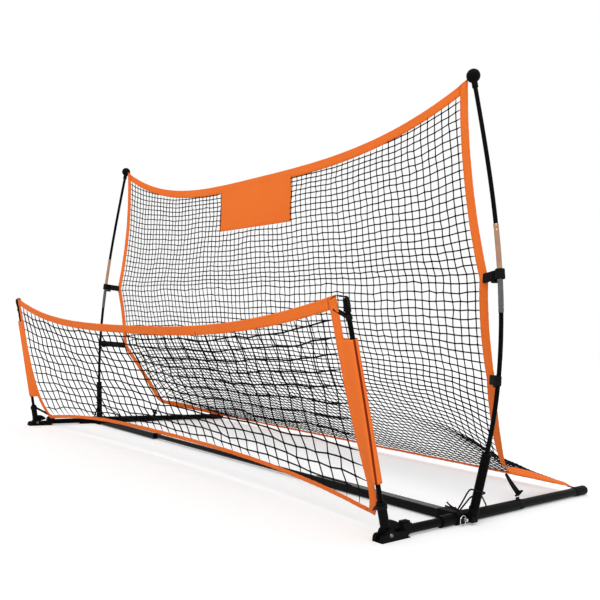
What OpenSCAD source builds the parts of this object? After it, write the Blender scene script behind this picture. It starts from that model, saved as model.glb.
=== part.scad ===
// Two sided rebounder: a tall net between two bent bows and a low hinged volley net.
// X runs across the frame, -Y is the volley net side, Z is up, the ground is z = 0.
// The origin is on the ground under the middle of the whole assembly.

/* [Base rails] */
// Distance between the axes of the two side rails
rail_gap = 2020; // [1400:10:2600]
// Outer diameter of the front rail tube
front_rail_d = 22; // [18:1:24]
// Outer diameter of the middle rail tube, which lies on the ground
middle_rail_d = 30; // [29:1:36]
// Outer diameter of the rear rail tube
rear_rail_d = 26; // [24:1:26]
// Wall of every round rail tube
rail_wall = 1.5; // [1:0.1:2]
// Distance from the bow line forward to the volley hinge axis
hinge_reach = 320; // [240:5:420]
// Distance from the bow line forward to the mouth of the middle rail
middle_front = 110; // [80:5:150]
// Distance from the bow line back to the end of the middle rail
middle_rear = 268; // [220:2:320]
// Distance from the bow line back to the very end of the rear cap
rear_reach = 720; // [560:10:900]
// Length of the slip-over rear cap without its dome
rear_cap_len = 55; // [30:5:80]

/* [Crossbar] */
// Distance of the crossbar axis in front of the bow line
crossbar_offset = 20; // [10:1:30]
// Depth of the flat crossbar arm, front to back
arm_depth = 40; // [32:1:44]
// Height of the flat crossbar arm
arm_height = 24; // [22:1:25]
// Wall of the crossbar arm
arm_wall = 1.5; // [1:0.1:2]
// Radius of the long edges of the crossbar arm
arm_edge_r = 4; // [2:0.5:6]
// Distance from the middle of the frame to the inner end of each arm
arm_start = 480; // [300:10:600]
// Diameter of the round centre tube
center_d = 18; // [14:1:18]
// Length of centre tube pushed into each arm
center_overlap = 90; // [60:5:140]
// Length of the plug that seats the centre tube in the arm
arm_plug_len = 34; // [20:2:50]

/* [Bows] */
// Distance from the rail axis out to the bow socket axis, at rail height
bow_offset = 24; // [22:1:32]
// Outward lean of the bow socket in degrees
bow_lean = 11.3; // [6:0.1:16]
// Outer diameter of the bow socket
bow_socket_d = 24; // [20:1:25]
// Height of the bow socket's top above the rail axis
bow_socket_top = 175; // [120:5:240]
// Diameter of the bow rod
bow_d = 12; // [9:0.5:12]
// Height of the bow tip above the rail axis
bow_tip_height = 1201; // [1000:5:1500]
// Distance of the bow tip inside the rail axis
bow_tip_inset = 39; // [0:1:120]
// Height above the rail axis at which the metal sleeve of the bow starts
sleeve_low = 540; // [480:2:640]
// Height above the rail axis at which the metal sleeve of the bow ends
sleeve_high = 776; // [700:2:800]
// Diameter of the ball on the bow tip
tip_ball_d = 39; // [30:1:50]

/* [Volley frame] */
// Forward lean of the volley poles in degrees
pole_lean = 15; // [8:0.5:20]
// Inward lean of the volley poles in degrees
pole_toe_in = 4; // [0:0.5:6]
// Distance from the hinge axis to the middle of the pole's round cap
pole_len = 550; // [450:5:700]
// Diameter of the volley pole
pole_d = 12; // [9:0.5:12]
// Diameter of the pole's round cap
pole_cap_d = 16; // [15:0.5:20]
// Outer diameter of the pole socket on the hinge knuckle
pole_socket_d = 23; // [20:0.5:24]
// Distance from the hinge axis to the top of the pole socket
pole_socket_top = 77; // [60:1:110]
// Radius of the shoulder behind the knuckle
shoulder_r = 32; // [26:0.5:33]
// Thickness of the knuckle between the ears of the hinge block
knuckle_t = 12; // [9:0.5:14]
// Diameter of the hinge bolt
bolt_d = 6; // [5:0.5:8]

/* [Nets] */
// Width of the hem tape along the edges of both nets
hem_w = 25; // [18:1:32]
// Width of the side band of the rebound net
band_w = 30; // [22:1:36]
// Thickness of hem tape, bands and sleeves
tape_t = 3; // [2:0.2:4]
// Thickness of a net strand
strand_t = 2; // [1.4:0.2:2.4]
// Width of a net strand
strand_w = 5; // [3:0.5:8]
// Number of gaps across the rebound net
rebound_cols = 20; // [8:1:20]
// Number of gaps down the rebound net
rebound_rows = 15; // [6:1:15]
// Number of gaps across the volley net
volley_cols = 16; // [6:1:16]
// Number of gaps down the volley net
volley_rows = 6; // [3:1:6]
// Drop of the middle of the rebound net's top hem below its ends
top_sag = 152; // [60:2:200]
// Width of the plain target patch under the top hem
patch_w = 430; // [200:10:700]
// Height of the target patch
patch_h = 185; // [100:5:260]
// Drop of the middle of the volley net's top hem
volley_sag = 76; // [20:2:120]
// Rise of the middle of the volley net's bottom hem
volley_rise = 60; // [10:2:100]
// Distance from the hinge axis to the lower end of the pole sleeve
sleeve_start = 122; // [100:2:180]
// Distance from the hinge axis to the upper end of the pole sleeve
sleeve_end = 438; // [300:2:500]

/* [Webbing] */
// Width of the webbing straps
web_w = 26; // [20:1:32]
// Thickness of the webbing
web_t = 1.8; // [1.2:0.2:2.4]
// Height of the upper strap above the rail axis
upper_strap_z = 642; // [600:2:690]
// Height of the lower strap above the rail axis
lower_strap_z = 363; // [300:2:440]
// Diameter of the retention cord at the bow socket
cord_d = 3.6; // [2.5:0.1:5]

/* [Locks] */
// Diameter of the lock pin
pin_d = 6; // [5:0.5:7]
// Distance of the lock pin in front of the bow line
pin_offset = 27.5; // [27:0.5:32]
// Mean radius of the pull ring
ring_r = 12.8; // [10:0.1:13]
// Diameter of the pull ring's wire
ring_wire_d = 2.2; // [1.6:0.1:2.4]
// Diameter of the snap button in the crossbar joint
snap_d = 7; // [5:0.5:8]
// Length of the latch button behind the knuckle
latch_len = 28; // [20:1:34]
// Height of the latch button above its housing
latch_rise = 5; // [4:0.5:8]
// Height of the latch housing above the front rail
latch_house = 7; // [6:0.5:10]

/* [Hidden] */

// Clearances
press_gap = 0.05;
run_gap = 0.05;
slide_gap = 0.15;
cloth_gap = 0.3;
ear_gap = 0.3;

// Smoothness
round_fn = 48;
bow_sides = 12;
cord_sides = 8;

// Colours
black_paint = "#1b1b1d";
black_plastic = "#242426";
black_web = "#161617";
orange_cloth = "#f2762e";
net_black = "#2a2a2c";
bright_metal = "#c9ccd0";

// Rails
rail_x = rail_gap / 2;
rail_z = middle_rail_d / 2;
rear_cap_r = rail_z;
rear_rail_end = rear_reach - rear_cap_r - 2;
rear_rail_start = 60;
front_rail_back = -12;
front_bush_len = 13;
inner_bush_len = pin_offset - pin_d / 2 - 0.5 + front_rail_back;

// Hinge block
block_front = hinge_reach + 31;
block_back = hinge_reach - 72;
ear_r = 14;
ear_t = 9;
block_half = knuckle_t / 2 + ear_gap + ear_t;
block_floor = 2.5;
nose_top = 3;
nose_r = 10;
barrel_start = hinge_reach - 52;
barrel_d = front_rail_d + 7;
latch_w = 15;
shoulder_cut = 15;
latch_front = hinge_reach - 50.5;
latch_travel = 3;
latch_house_z = rail_z + front_rail_d / 2 + latch_house;
latch_well_z = rail_z + front_rail_d / 2 + 0.4;
latch_top = latch_house_z + latch_rise;
latch_back = latch_front - latch_len;
latch_wall = 3;
nut_t = 5;
nut_d = 10;
bolt_head_d = 10.5;
bolt_head_t = 3;

// Crossbar
arm_fit = 0.1;
arm_end_x = rail_x - 26;
joint_sleeve_wall = 2.6;
joint_sleeve_len = 44;
joint_back = 18;
joint_front = crossbar_offset + arm_depth / 2 + joint_sleeve_wall + 8;
saddle_t = 3;
snap_x = arm_start + 17;
snap_rise = 4.5;

// Bow line, in the upright plane through both sockets
bow_foot = 11;
bow_rod_depth = 90;
bow_bend_h = bow_tip_height - bow_socket_top;
bow_top_x = rail_x + bow_offset + tan(bow_lean) * bow_socket_top;
bow_tip_x = rail_x - bow_tip_inset;
bow_bend = 3 * (tan(bow_lean) * bow_bend_h - (bow_tip_x - bow_top_x)) / (bow_bend_h * bow_bend_h);
bow_tip_slope = tan(bow_lean) - bow_bend * bow_bend_h / 2;
cup_r = bow_socket_d / 2 + 2;
cup_top = 30;
cup_low = 9.5;
sleeve_wall = 1;
bow_steps = 22;

// Volley frame
pole_dir = [-sin(pole_toe_in), -cos(pole_toe_in) * sin(pole_lean), cos(pole_toe_in) * cos(pole_lean)];
hinge_point = [rail_x, -hinge_reach, rail_z];
pole_top = hinge_point + pole_len * pole_dir;
pole_seat = 24;

// Middle of the whole assembly, front to back
front_extent = pole_top[1] - pole_cap_d / 2;
middle_y = (rear_reach + front_extent) / 2;

// Rebound net: edge stations from the bow tip down and back to the rear rail end
net_corner_in = 16;
net_corner_drop = 13;
fold_point = [rail_x - 54, 283, 92];
rear_corner = [rail_x - 25, rear_reach - 40, 14];
edge_stations = [
  [bow_tip_x - net_corner_in, 0, bow_tip_height - net_corner_drop],
  [rail_x - 2, 35, upper_strap_z - 7],
  [rail_x + 4, 91, lower_strap_z - 2],
  fold_point,
  rear_corner
];
middle_stations = [
  [22, bow_tip_height - net_corner_drop - top_sag],
  [52, 640],
  [102, 400],
  [288, 165],
  [rear_corner[1] + 4, 15]
];
station_gaps = [for (k = [0:3]) norm(edge_stations[k + 1] - edge_stations[k])];
station_sum = [for (k = [0:4]) k == 0 ? 0 : sum_to(station_gaps, k - 1)];
net_run = station_sum[4];
seam_step = 1.02;
top_curve = 3.3;
side_curve = 2;

// Volley net corners
volley_top_corner = pole_top + [-22, 8, -6];
volley_low_corner = hinge_point + [-68, 37, 22];

function sum_to(list, last) = last == 0 ? list[0] : list[last] + sum_to(list, last - 1);
function mix(a, b, t) = a + (b - a) * t;
function unit(a) = a / norm(a);

// Position of a length fraction v between stations: [index, local fraction]
function station_at(v) =
  let (run = v * net_run,
       k = run < station_sum[1] ? 0 : run < station_sum[2] ? 1 : run < station_sum[3] ? 2 : 3)
  [k, (run - station_sum[k]) / station_gaps[k]];

// Smooth curve through four numbers or points, between b and c
function smooth4(a, b, c, d, t) =
  b + 0.5 * t * (c - a + t * (2 * a - 5 * b + 4 * c - d + t * (3 * (b - c) + d - a)));
function station_smooth(list, k, t) =
  smooth4(list[max(k - 1, 0)], list[k], list[k + 1], list[min(k + 2, 4)], t);

// Point on the rebound net: u across from -1 to 1, v down and back from 0 to 1
function rebound_point(u, v) =
  let (s = station_at(v),
       edge = mix(edge_stations[s[0]], edge_stations[s[0] + 1], s[1]),
       mid = station_smooth(middle_stations, s[0], s[1]),
       power = mix(top_curve, side_curve, min(1, v * 4)),
       w = pow(abs(u), power))
  [u * edge[0], mix(mid[0], edge[1], w), rail_z + mix(mid[1], edge[2], w)];

// Point on the volley net: u across, v down
function volley_point(u, v) =
  let (w = u * u,
       x = mix(volley_top_corner[0], volley_low_corner[0], v),
       top = [0, mix(volley_top_corner[1] + 20, volley_top_corner[1], w),
              volley_top_corner[2] - volley_sag * (1 - w)],
       low = [0, volley_low_corner[1], volley_low_corner[2] + volley_rise * (1 - w)],
       p = mix(top, low, v))
  [u * x, p[1], p[2]];

// Point on the pole sleeve's flap: a from the pole to the net, b up the pole
function flap_point(a, b) =
  let (s = mix(sleeve_start, sleeve_end, b),
       on_pole = hinge_point + s * pole_dir,
       v = (volley_top_corner[2] - on_pole[2]) / (volley_top_corner[2] - volley_low_corner[2]),
       on_net = volley_point(1 - hem_w / 2 / volley_top_corner[0], v),
       clear = (pole_d / 2 + cloth_gap + tape_t / 4) / norm(on_net - on_pole))
  mix(on_pole, on_net, mix(clear, 1, a));

// Centre of the bow at a height above the rail axis
function bow_x(h) =
  let (s = h - bow_socket_top)
  s <= 0 ? bow_top_x + tan(bow_lean) * s
         : bow_top_x + tan(bow_lean) * s - bow_bend * (s * s / 2 - s * s * s / (6 * bow_bend_h));
function bow_point(h) = [bow_x(h), 0, rail_z + h];
function bow_angle(h) =
  let (s = max(0, h - bow_socket_top))
  atan(tan(bow_lean) - bow_bend * (s - s * s / (2 * bow_bend_h)));
function bow_path(low, high, steps) = [for (k = [0:steps]) bow_point(mix(low, high, k / steps))];

// Unit normal by small steps
function normal_at(shape, u, v) =
  let (d = 0.002)
  unit(cross(shape(u + d, v) - shape(u - d, v), shape(u, v + d) - shape(u, v - d)));

// Breakpoints of n gaps with a strand on both sides of each
function strand_marks(low, high, n, width) =
  let (pitch = (high - low - width) / n)
  [for (k = [0:n]) each [low + k * pitch, low + k * pitch + width]];
function even_marks(low, high, n) = [for (k = [0:n]) mix(low, high, k / n)];

// Curved sheet over the marks us and vs; with open = true every odd cell is a gap
module sheet(shape, us, vs, thick, open = false) {
  nu = len(us);
  nv = len(vs);
  top = [for (v = vs) for (u = us) shape(u, v) + normal_at(shape, u, v) * thick / 2];
  low = [for (v = vs) for (u = us) shape(u, v) - normal_at(shape, u, v) * thick / 2];
  n = nu * nv;
  function full(i, j) = i >= 0 && j >= 0 && i < nu - 1 && j < nv - 1 && !(open && i % 2 == 1 && j % 2 == 1);
  function at(i, j) = j * nu + i;
  function wall(a, b) = [[a, b, b + n], [a, b + n, a + n]];
  faces = [for (j = [0:nv - 2]) for (i = [0:nu - 2]) if (full(i, j)) each concat(
    [[at(i, j), at(i, j + 1), at(i + 1, j + 1)], [at(i, j), at(i + 1, j + 1), at(i + 1, j)],
     [at(i, j) + n, at(i + 1, j + 1) + n, at(i, j + 1) + n],
     [at(i, j) + n, at(i + 1, j) + n, at(i + 1, j + 1) + n]],
    full(i, j - 1) ? [] : wall(at(i, j), at(i + 1, j)),
    full(i + 1, j) ? [] : wall(at(i + 1, j), at(i + 1, j + 1)),
    full(i, j + 1) ? [] : wall(at(i + 1, j + 1), at(i, j + 1)),
    full(i - 1, j) ? [] : wall(at(i, j + 1), at(i, j)))];
  polyhedron(concat(top, low), faces);
}

// Round tube swept along a path; side_ref is any direction that is never along the path
module sweep(path, r, sides, side_ref) {
  last = len(path) - 1;
  rings = [for (k = [0:last])
    let (t = unit(path[min(k + 1, last)] - path[max(k - 1, 0)]),
         a = unit(cross(side_ref, t)),
         b = cross(t, a))
    for (i = [0:sides - 1]) path[k] + r * (cos(360 * i / sides) * a + sin(360 * i / sides) * b)];
  walls = [for (k = [0:last - 1]) for (i = [0:sides - 1])
    let (p = k * sides + i, q = k * sides + (i + 1) % sides)
    each [[p, p + sides, q], [q, p + sides, q + sides]]];
  caps = [for (i = [1:sides - 2]) each [[0, i, i + 1],
    [last * sides, last * sides + i + 1, last * sides + i]]];
  polyhedron(rings, concat(walls, caps));
}

// Places the model so that its origin is under its middle
module frame() {
  translate([0, -middle_y, 0]) children();
}
module left() {
  frame() mirror([1, 0, 0]) children();
}
module right() {
  frame() children();
}
module both() {
  left() children();
  right() children();
}

// Cylinder along +Y or +X from a start point
module along_y(from, len, d) {
  translate(from) rotate([-90, 0, 0]) cylinder(d = d, h = len, $fn = round_fn);
}
module along_x(from, len, d) {
  translate(from) rotate([0, 90, 0]) cylinder(d = d, h = len, $fn = round_fn);
}
module slab(low, high) {
  translate(low) cube(high - low);
}
// Moves children to a point of the bow, with Z along the bow
module on_bow(h) {
  translate(bow_point(h)) rotate([0, bow_angle(h), 0]) children();
}
// Moves children to the hinge axis, with Z up the volley pole
module on_pole() {
  translate(hinge_point) rotate([pole_lean, 0, 0]) rotate([0, -pole_toe_in, 0]) children();
}

// ---- Base rails ----
module front_rail() {
  color(black_paint) difference() {
    along_y([rail_x, -barrel_start + 4, rail_z], barrel_start - 4 + front_rail_back, front_rail_d);
    along_y([rail_x, -barrel_start + 3, rail_z], barrel_start, front_rail_d - 2 * rail_wall);
    pin_hole();
  }
}
module middle_rail() {
  color(black_paint) difference() {
    along_y([rail_x, -middle_front, rail_z], middle_front + middle_rear, middle_rail_d);
    along_y([rail_x, -middle_front - 1, rail_z], middle_front + middle_rear + 2,
            middle_rail_d - 2 * rail_wall);
    pin_hole();
  }
}
module rear_rail() {
  color(black_paint) difference() {
    along_y([rail_x, rear_rail_start, rail_z], rear_rail_end - rear_rail_start, rear_rail_d);
    along_y([rail_x, rear_rail_start - 1, rail_z], rear_rail_end - rear_rail_start + 2,
            rear_rail_d - 2 * rail_wall);
  }
}
module rear_cap() {
  cap_from = rear_reach - rear_cap_r - rear_cap_len;
  color(black_plastic) difference() {
    union() {
      along_y([rail_x, cap_from, rail_z], rear_cap_len, 2 * rear_cap_r);
      translate([rail_x, rear_reach - rear_cap_r, rail_z]) sphere(r = rear_cap_r, $fn = round_fn);
    }
    along_y([rail_x, cap_from - 1, rail_z], rear_rail_end - cap_from + 1, rear_rail_d + 2 * press_gap);
  }
}
// Bush that centres the front rail in the middle rail; the inner one stays behind the lock pin
module rail_bush(from, len) {
  color(black_plastic) difference() {
    along_y([rail_x, from, rail_z], len, middle_rail_d - 2 * rail_wall - 2 * press_gap);
    along_y([rail_x, from - 1, rail_z], len + 2, front_rail_d + 2 * press_gap);
  }
}
module rail_bush_pair() {
  rail_bush(-middle_front, front_bush_len);
  rail_bush(front_rail_back - inner_bush_len, inner_bush_len);
}

// ---- Corner joint: carries the crossbar arm, the bow socket and the lock pin ----
module pin_hole() {
  along_x([rail_x, -pin_offset, rail_z], 60, pin_d + 2 * run_gap);
}
module bow_cup_axis(low, high, d) {
  translate(bow_point(0)) rotate([0, bow_lean, 0]) translate([0, 0, low])
    cylinder(d = d, h = high - low, $fn = round_fn);
}
module corner_joint() {
  half_depth = arm_depth / 2 + joint_sleeve_wall;
  half_height = arm_height / 2 + joint_sleeve_wall;
  color(black_plastic) difference() {
    union() {
      along_y([rail_x, -joint_front, rail_z], joint_front + joint_back, middle_rail_d + 2 * saddle_t);
      slab([arm_end_x - joint_sleeve_len + 14, -crossbar_offset - half_depth, rail_z - half_height],
           [rail_x - 6, -crossbar_offset + half_depth, rail_z + half_height]);
      bow_cup_axis(cup_low, cup_top, 2 * cup_r);
      translate([rail_x + bow_offset - cup_r, -cup_r + 1, rail_z - 8])
        cube([2 * cup_r - 4, 2 * cup_r - 2, 8 + cup_low + 4]);
    }
    along_y([rail_x, -joint_front - 1, rail_z], joint_front + joint_back + 2, middle_rail_d + 2 * press_gap);
    translate([rail_x - 100, -100, -20]) cube([200, 200, 20.3]);
    arm_block(arm_end_x - 100, arm_end_x + arm_fit, arm_fit);
    bow_cup_axis(bow_foot, cup_top + 60, bow_socket_d + 2 * press_gap);
    pin_hole();
  }
}

// ---- Crossbar ----
// Flat bar with rounded long edges between two X positions, grown by a clearance
module arm_block(from, to, grow) {
  d = arm_depth / 2 + grow;
  h = arm_height / 2 + grow;
  r = max(0.2, arm_edge_r + grow);
  translate([0, -crossbar_offset, rail_z]) {
    slab([from, -d + r, -h], [to, d - r, h]);
    slab([from, -d, -h + r], [to, d, h - r]);
    for (y = [-1, 1]) for (z = [-1, 1])
      along_x([from, y * (d - r), z * (h - r)], to - from, 2 * r);
  }
}
module center_axis(from, len, d) {
  along_x([from, -crossbar_offset, rail_z], len, d);
}
module snap_hole() {
  translate([snap_x, -crossbar_offset, rail_z])
    cylinder(d = snap_d + 2 * slide_gap, h = 40, $fn = round_fn);
}
module crossbar_arm() {
  color(black_paint) difference() {
    arm_block(arm_start, arm_end_x, 0);
    arm_block(arm_start - 1, arm_end_x + 1, -arm_wall);
    snap_hole();
  }
}
module arm_plug() {
  color(black_plastic) difference() {
    arm_block(arm_start, arm_start + arm_plug_len, -arm_wall - press_gap);
    center_axis(arm_start - 1, arm_plug_len + 2, center_d + 2 * slide_gap);
    snap_hole();
  }
}
module crossbar_center() {
  len = arm_start + center_overlap;
  color(black_paint) frame() difference() {
    center_axis(-len, 2 * len, center_d);
    center_axis(-len - 1, 2 * len + 2, center_d - 2 * rail_wall);
    snap_hole();
    mirror([1, 0, 0]) snap_hole();
  }
}
// Snap button with a domed head; its foot lies inside the centre tube
module snap_button() {
  foot = center_d / 2 - rail_wall - 3;
  shank_top = arm_height / 2 + snap_rise - snap_d / 2;
  color(bright_metal) translate([snap_x, -crossbar_offset, rail_z]) {
    translate([0, 0, foot]) cylinder(d = snap_d, h = shank_top - foot, $fn = round_fn);
    translate([0, 0, shank_top]) intersection() {
      sphere(d = snap_d, $fn = round_fn);
      translate([0, 0, snap_d / 4]) cube([snap_d + 1, snap_d + 1, snap_d / 2], center = true);
    }
  }
}

// ---- Hinge block at the front end of each rail ----
module hinge_block() {
  slot = knuckle_t / 2 + ear_gap;
  inner_x = rail_x - block_half;
  outer_x = rail_x + block_half;
  nose_y = -block_front + nose_r;
  nose_z = rail_z + nose_top - nose_r;
  color(black_plastic) difference() {
    union() {
      slab([inner_x, nose_y, 0], [outer_x, -block_back, block_floor]);
      slab([inner_x, nose_y, 0], [outer_x, -barrel_start + 12, rail_z + nose_top]);
      along_x([inner_x, nose_y, nose_z], 2 * block_half, 2 * nose_r);
      slab([inner_x, -block_front, 0], [outer_x, nose_y, nose_z]);
      along_x([inner_x, -hinge_reach, rail_z], 2 * block_half, 2 * ear_r);
      along_y([rail_x, -barrel_start, rail_z], barrel_start - block_back, barrel_d);
      slab([rail_x - latch_w / 2 - latch_wall, -latch_front, rail_z],
           [rail_x + latch_w / 2 + latch_wall, -latch_back + latch_wall, latch_house_z]);
    }
    slab([rail_x - slot, -block_front - 1, block_floor],
         [rail_x + slot, -latch_front - latch_wall, block_floor + 60]);
    along_x([rail_x - 60, -hinge_reach, rail_z], 120, bolt_d + 2 * press_gap);
    along_y([rail_x, -barrel_start + 4 - press_gap, rail_z], 200, front_rail_d + 2 * press_gap);
    latch_well();
  }
}
module latch_well() {
  slab([rail_x - latch_w / 2 - slide_gap, -latch_front + latch_wall - slide_gap, latch_well_z],
       [rail_x + latch_w / 2 + slide_gap, -latch_back + slide_gap, latch_top + 1]);
}
// Push button with three grip grooves; it sits its travel above the floor of its well
module latch_button() {
  groove_d = 3;
  groove_pitch = 5;
  middle = (latch_wall - latch_front - latch_back) / 2;
  color(black_plastic) difference() {
    slab([rail_x - latch_w / 2, -latch_front + latch_wall, latch_well_z + latch_travel + slide_gap],
         [rail_x + latch_w / 2, -latch_back, latch_top]);
    for (k = [-1:1])
      along_x([rail_x - latch_w, middle + k * groove_pitch, latch_top + groove_d / 5], 2 * latch_w, groove_d);
  }
}
module hinge_bolt() {
  color(bright_metal) {
    along_x([rail_x - block_half - nut_t - 1, -hinge_reach, rail_z], 2 * block_half + nut_t + 2, bolt_d);
    translate([rail_x + block_half, -hinge_reach, rail_z]) rotate([0, 90, 0])
      cylinder(d1 = bolt_head_d, d2 = bolt_head_d - 3, h = bolt_head_t, $fn = round_fn);
  }
}
module hinge_nut() {
  color(bright_metal) translate([rail_x - block_half - nut_t, -hinge_reach, rail_z]) rotate([0, 90, 0])
    difference() {
      cylinder(d = nut_d / cos(30), h = nut_t, $fn = 6);
      translate([0, 0, -1]) cylinder(d = bolt_d + 2 * press_gap, h = nut_t + 2, $fn = round_fn);
    }
}

// ---- Bows ----
module bow_socket() {
  top = bow_socket_top / cos(bow_lean);
  color(black_paint) difference() {
    bow_cup_axis(bow_foot + 0.2, top - 4, bow_socket_d);
    bow_cup_axis(bow_foot - 1, top, bow_socket_d - 2 * rail_wall);
  }
}
module socket_bush() {
  top = bow_socket_top / cos(bow_lean);
  inner = bow_socket_d - 2 * rail_wall - 2 * press_gap;
  color(black_plastic) difference() {
    union() {
      bow_cup_axis(top - 34, top - 4, inner);
      bow_cup_axis(top - 4, top, bow_socket_d + 2);
      bow_cup_axis(top - bow_rod_depth - 8, top - bow_rod_depth + 14, inner);
    }
    bow_cup_axis(top - bow_rod_depth, top + 1, bow_d + 2 * press_gap);
    bow_cup_axis(top - bow_rod_depth + 14, top - 34, inner + 4);
  }
}
module lower_bow() {
  foot = bow_socket_top - (bow_rod_depth - 0.2) * cos(bow_lean);
  joint = (sleeve_low + sleeve_high) / 2;
  path = concat([bow_point(foot)], bow_path(bow_socket_top, joint - 0.2, bow_steps / 2));
  color(black_paint) sweep(path, bow_d / 2, bow_sides, [0, 1, 0]);
}
module upper_bow() {
  joint = (sleeve_low + sleeve_high) / 2;
  path = bow_path(joint + 0.2, bow_tip_height, bow_steps / 2);
  color(black_paint) sweep(path, bow_d / 2, bow_sides, [0, 1, 0]);
}
module bow_sleeve() {
  inner = bow_d / 2 + press_gap * 2;
  color(bright_metal) difference() {
    sweep(bow_path(sleeve_low, sleeve_high, 6), inner + sleeve_wall, bow_sides, [0, 1, 0]);
    sweep(bow_path(sleeve_low - 10, sleeve_high + 10, 6), inner, bow_sides, [0, 1, 0]);
  }
}
module bow_tip() {
  color(black_plastic) translate(bow_point(bow_tip_height)) rotate([0, atan(bow_tip_slope), 0]) difference() {
    union() {
      sphere(d = tip_ball_d, $fn = round_fn);
      translate([0, 0, -tip_ball_d / 2 - 16]) cylinder(d = bow_d + 5, h = 30, $fn = round_fn);
    }
    translate([0, 0, -60]) cylinder(d = bow_d + 3 * press_gap, h = 60.3, $fn = round_fn);
  }
}

// ---- Rebound net ----
rebound_v = hem_w / net_run;
hem_end_u = 1 - seam_step * band_w / rail_x;
module rebound_net() {
  us = strand_marks(-1 + band_w / rail_x / 2, 1 - band_w / rail_x / 2, rebound_cols, strand_w / rail_x);
  vs = strand_marks(rebound_v / 2, 1 - rebound_v / 2, rebound_rows, strand_w / net_run);
  color(net_black) frame() sheet(function(u, v) rebound_point(u, v), us, vs, strand_t, true);
}
module rebound_top_hem() {
  color(orange_cloth) frame()
    sheet(function(u, v) rebound_point(u, v), even_marks(-hem_end_u, hem_end_u, 32),
          [0, rebound_v], tape_t);
}
module rebound_rear_hem() {
  color(orange_cloth) frame()
    sheet(function(u, v) rebound_point(u, v), even_marks(-hem_end_u, hem_end_u, 16),
          [1 - rebound_v, 1], tape_t);
}
module rebound_side_band() {
  bends = [for (k = [1:3]) station_sum[k] / net_run];
  vs = concat(even_marks(0, bends[0], 6), even_marks(bends[0] + 0.001, bends[1], 3),
              even_marks(bends[1] + 0.001, bends[2] - 0.004, 4), even_marks(bends[2] + 0.004, 1, 4));
  color(orange_cloth) sheet(function(u, v) rebound_point(u, v), [1 - band_w / rail_x, 1], vs, tape_t);
}
// The patch hangs from the top hem; its height is measured down the middle of the net
module target_patch() {
  half = patch_w / 2 / bow_tip_x;
  drop_per_v = (middle_stations[0][1] - middle_stations[1][1]) * net_run / station_sum[1];
  color(orange_cloth) frame()
    sheet(function(u, v) rebound_point(u, v), even_marks(-half, half, 8),
          even_marks(rebound_v * seam_step, rebound_v + patch_h / drop_per_v, 4), tape_t);
}

// ---- Webbing between net, bows and rails ----
// Flat ribbon between two points, its width along the direction wide
module ribbon(from, to, wide, width, thick) {
  sheet(function(u, v) mix(from, to, u) + wide * v * width, [0, 1], [-0.5, 0.5], thick);
}
// Where a strap is sewn to the side band, the bow beside it at the same height, and its direction
function strap_from(station) = edge_stations[station] + [-band_w / 2, 0, rail_z];
function strap_to(h, station) = [bow_point(h)[0], bow_point(h)[1], strap_from(station)[2]];
function strap_dir(h, station) = unit(strap_to(h, station) - strap_from(station));
// A strap lies over the metal sleeve where it meets it
function strap_inner(h) =
  let (on_sleeve = h > sleeve_low - web_w && h < sleeve_high + web_w)
  bow_d / 2 + (on_sleeve ? sleeve_wall + press_gap * 2 : 0) + cloth_gap;
// Strap from the net edge round the bow at one height
module bow_strap(h, station) {
  out = strap_dir(h, station);
  end = strap_to(h, station) - out * (strap_inner(h) + 0.4);
  apart = tape_t / 2 + web_t / 2 + cloth_gap / 2;
  color(black_web) {
    on_bow(h) translate([0, 0, -web_w / 2]) difference() {
      cylinder(r = strap_inner(h) + web_t, h = web_w, $fn = round_fn);
      translate([0, 0, -1]) cylinder(r = strap_inner(h), h = web_w + 2, $fn = round_fn);
    }
    for (side = [-1, 1]) let (off = side * apart * [-out[1], out[0], 0])
      ribbon(strap_from(station) + off, end + off, [0, 0, 1], web_w, web_t);
  }
}
// The slider sits on both plies of the strap, close to the bow
module strap_slider(h, station) {
  slider_len = 16;
  out = strap_dir(h, station);
  angle = atan2(out[1], out[0]);
  mid = strap_to(h, station) - out * (strap_inner(h) + web_t + slider_len / 2 + 3);
  reach = tape_t / 2 + web_t + cloth_gap / 2 + 0.3;
  color(black_plastic) translate(mid) rotate([0, 0, angle]) difference() {
    cube([slider_len, 2 * reach + 4, web_w + 6], center = true);
    cube([slider_len + 4, 2 * reach, web_w + 0.6], center = true);
    for (x = [-4.5, 4.5]) translate([x, 0, 0]) cube([3, 40, web_w - 6], center = true);
  }
}
module slider_pair() {
  strap_slider(upper_strap_z, 1);
  strap_slider(lower_strap_z, 2);
}
// Strap from the fold of the net down to the anchor band on the rear rail
strap_low = [rail_x - 4, fold_point[1] + 3, rail_z + rear_rail_d / 2 + 16];
strap_high = [fold_point[0] - 4, fold_point[1], rail_z + fold_point[2] - 3];
module hold_down_strap() {
  color(black_web) ribbon(strap_high, strap_low + [-1.5, 0, 3], [0, 1, 0], web_w * 0.6, web_t);
}
module strap_buckle() {
  color(black_plastic) translate(strap_low) rotate([0, 38, 0]) difference() {
    translate([-2, -10, -8]) cube([4, 20, 22]);
    translate([-5, -6.5, 6]) cube([10, 13, 3]);
    translate([-web_t / 2 - 0.3, -web_w * 0.3 - 0.4, 1]) cube([web_t + 0.6, web_w * 0.6 + 0.8, 40]);
  }
}
module anchor_band() {
  inner = rear_rail_d / 2 + press_gap;
  y = middle_rear + 2;
  color(black_web) difference() {
    union() {
      along_y([rail_x, y, rail_z], web_w, 2 * (inner + web_t - 0.1));
      slab([rail_x - 7, y + 4, rail_z + inner], [rail_x - 2, y + web_w - 4, rail_z + inner + 7]);
    }
    along_y([rail_x, y - 1, rail_z], web_w + 2, 2 * inner);
  }
}
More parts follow.
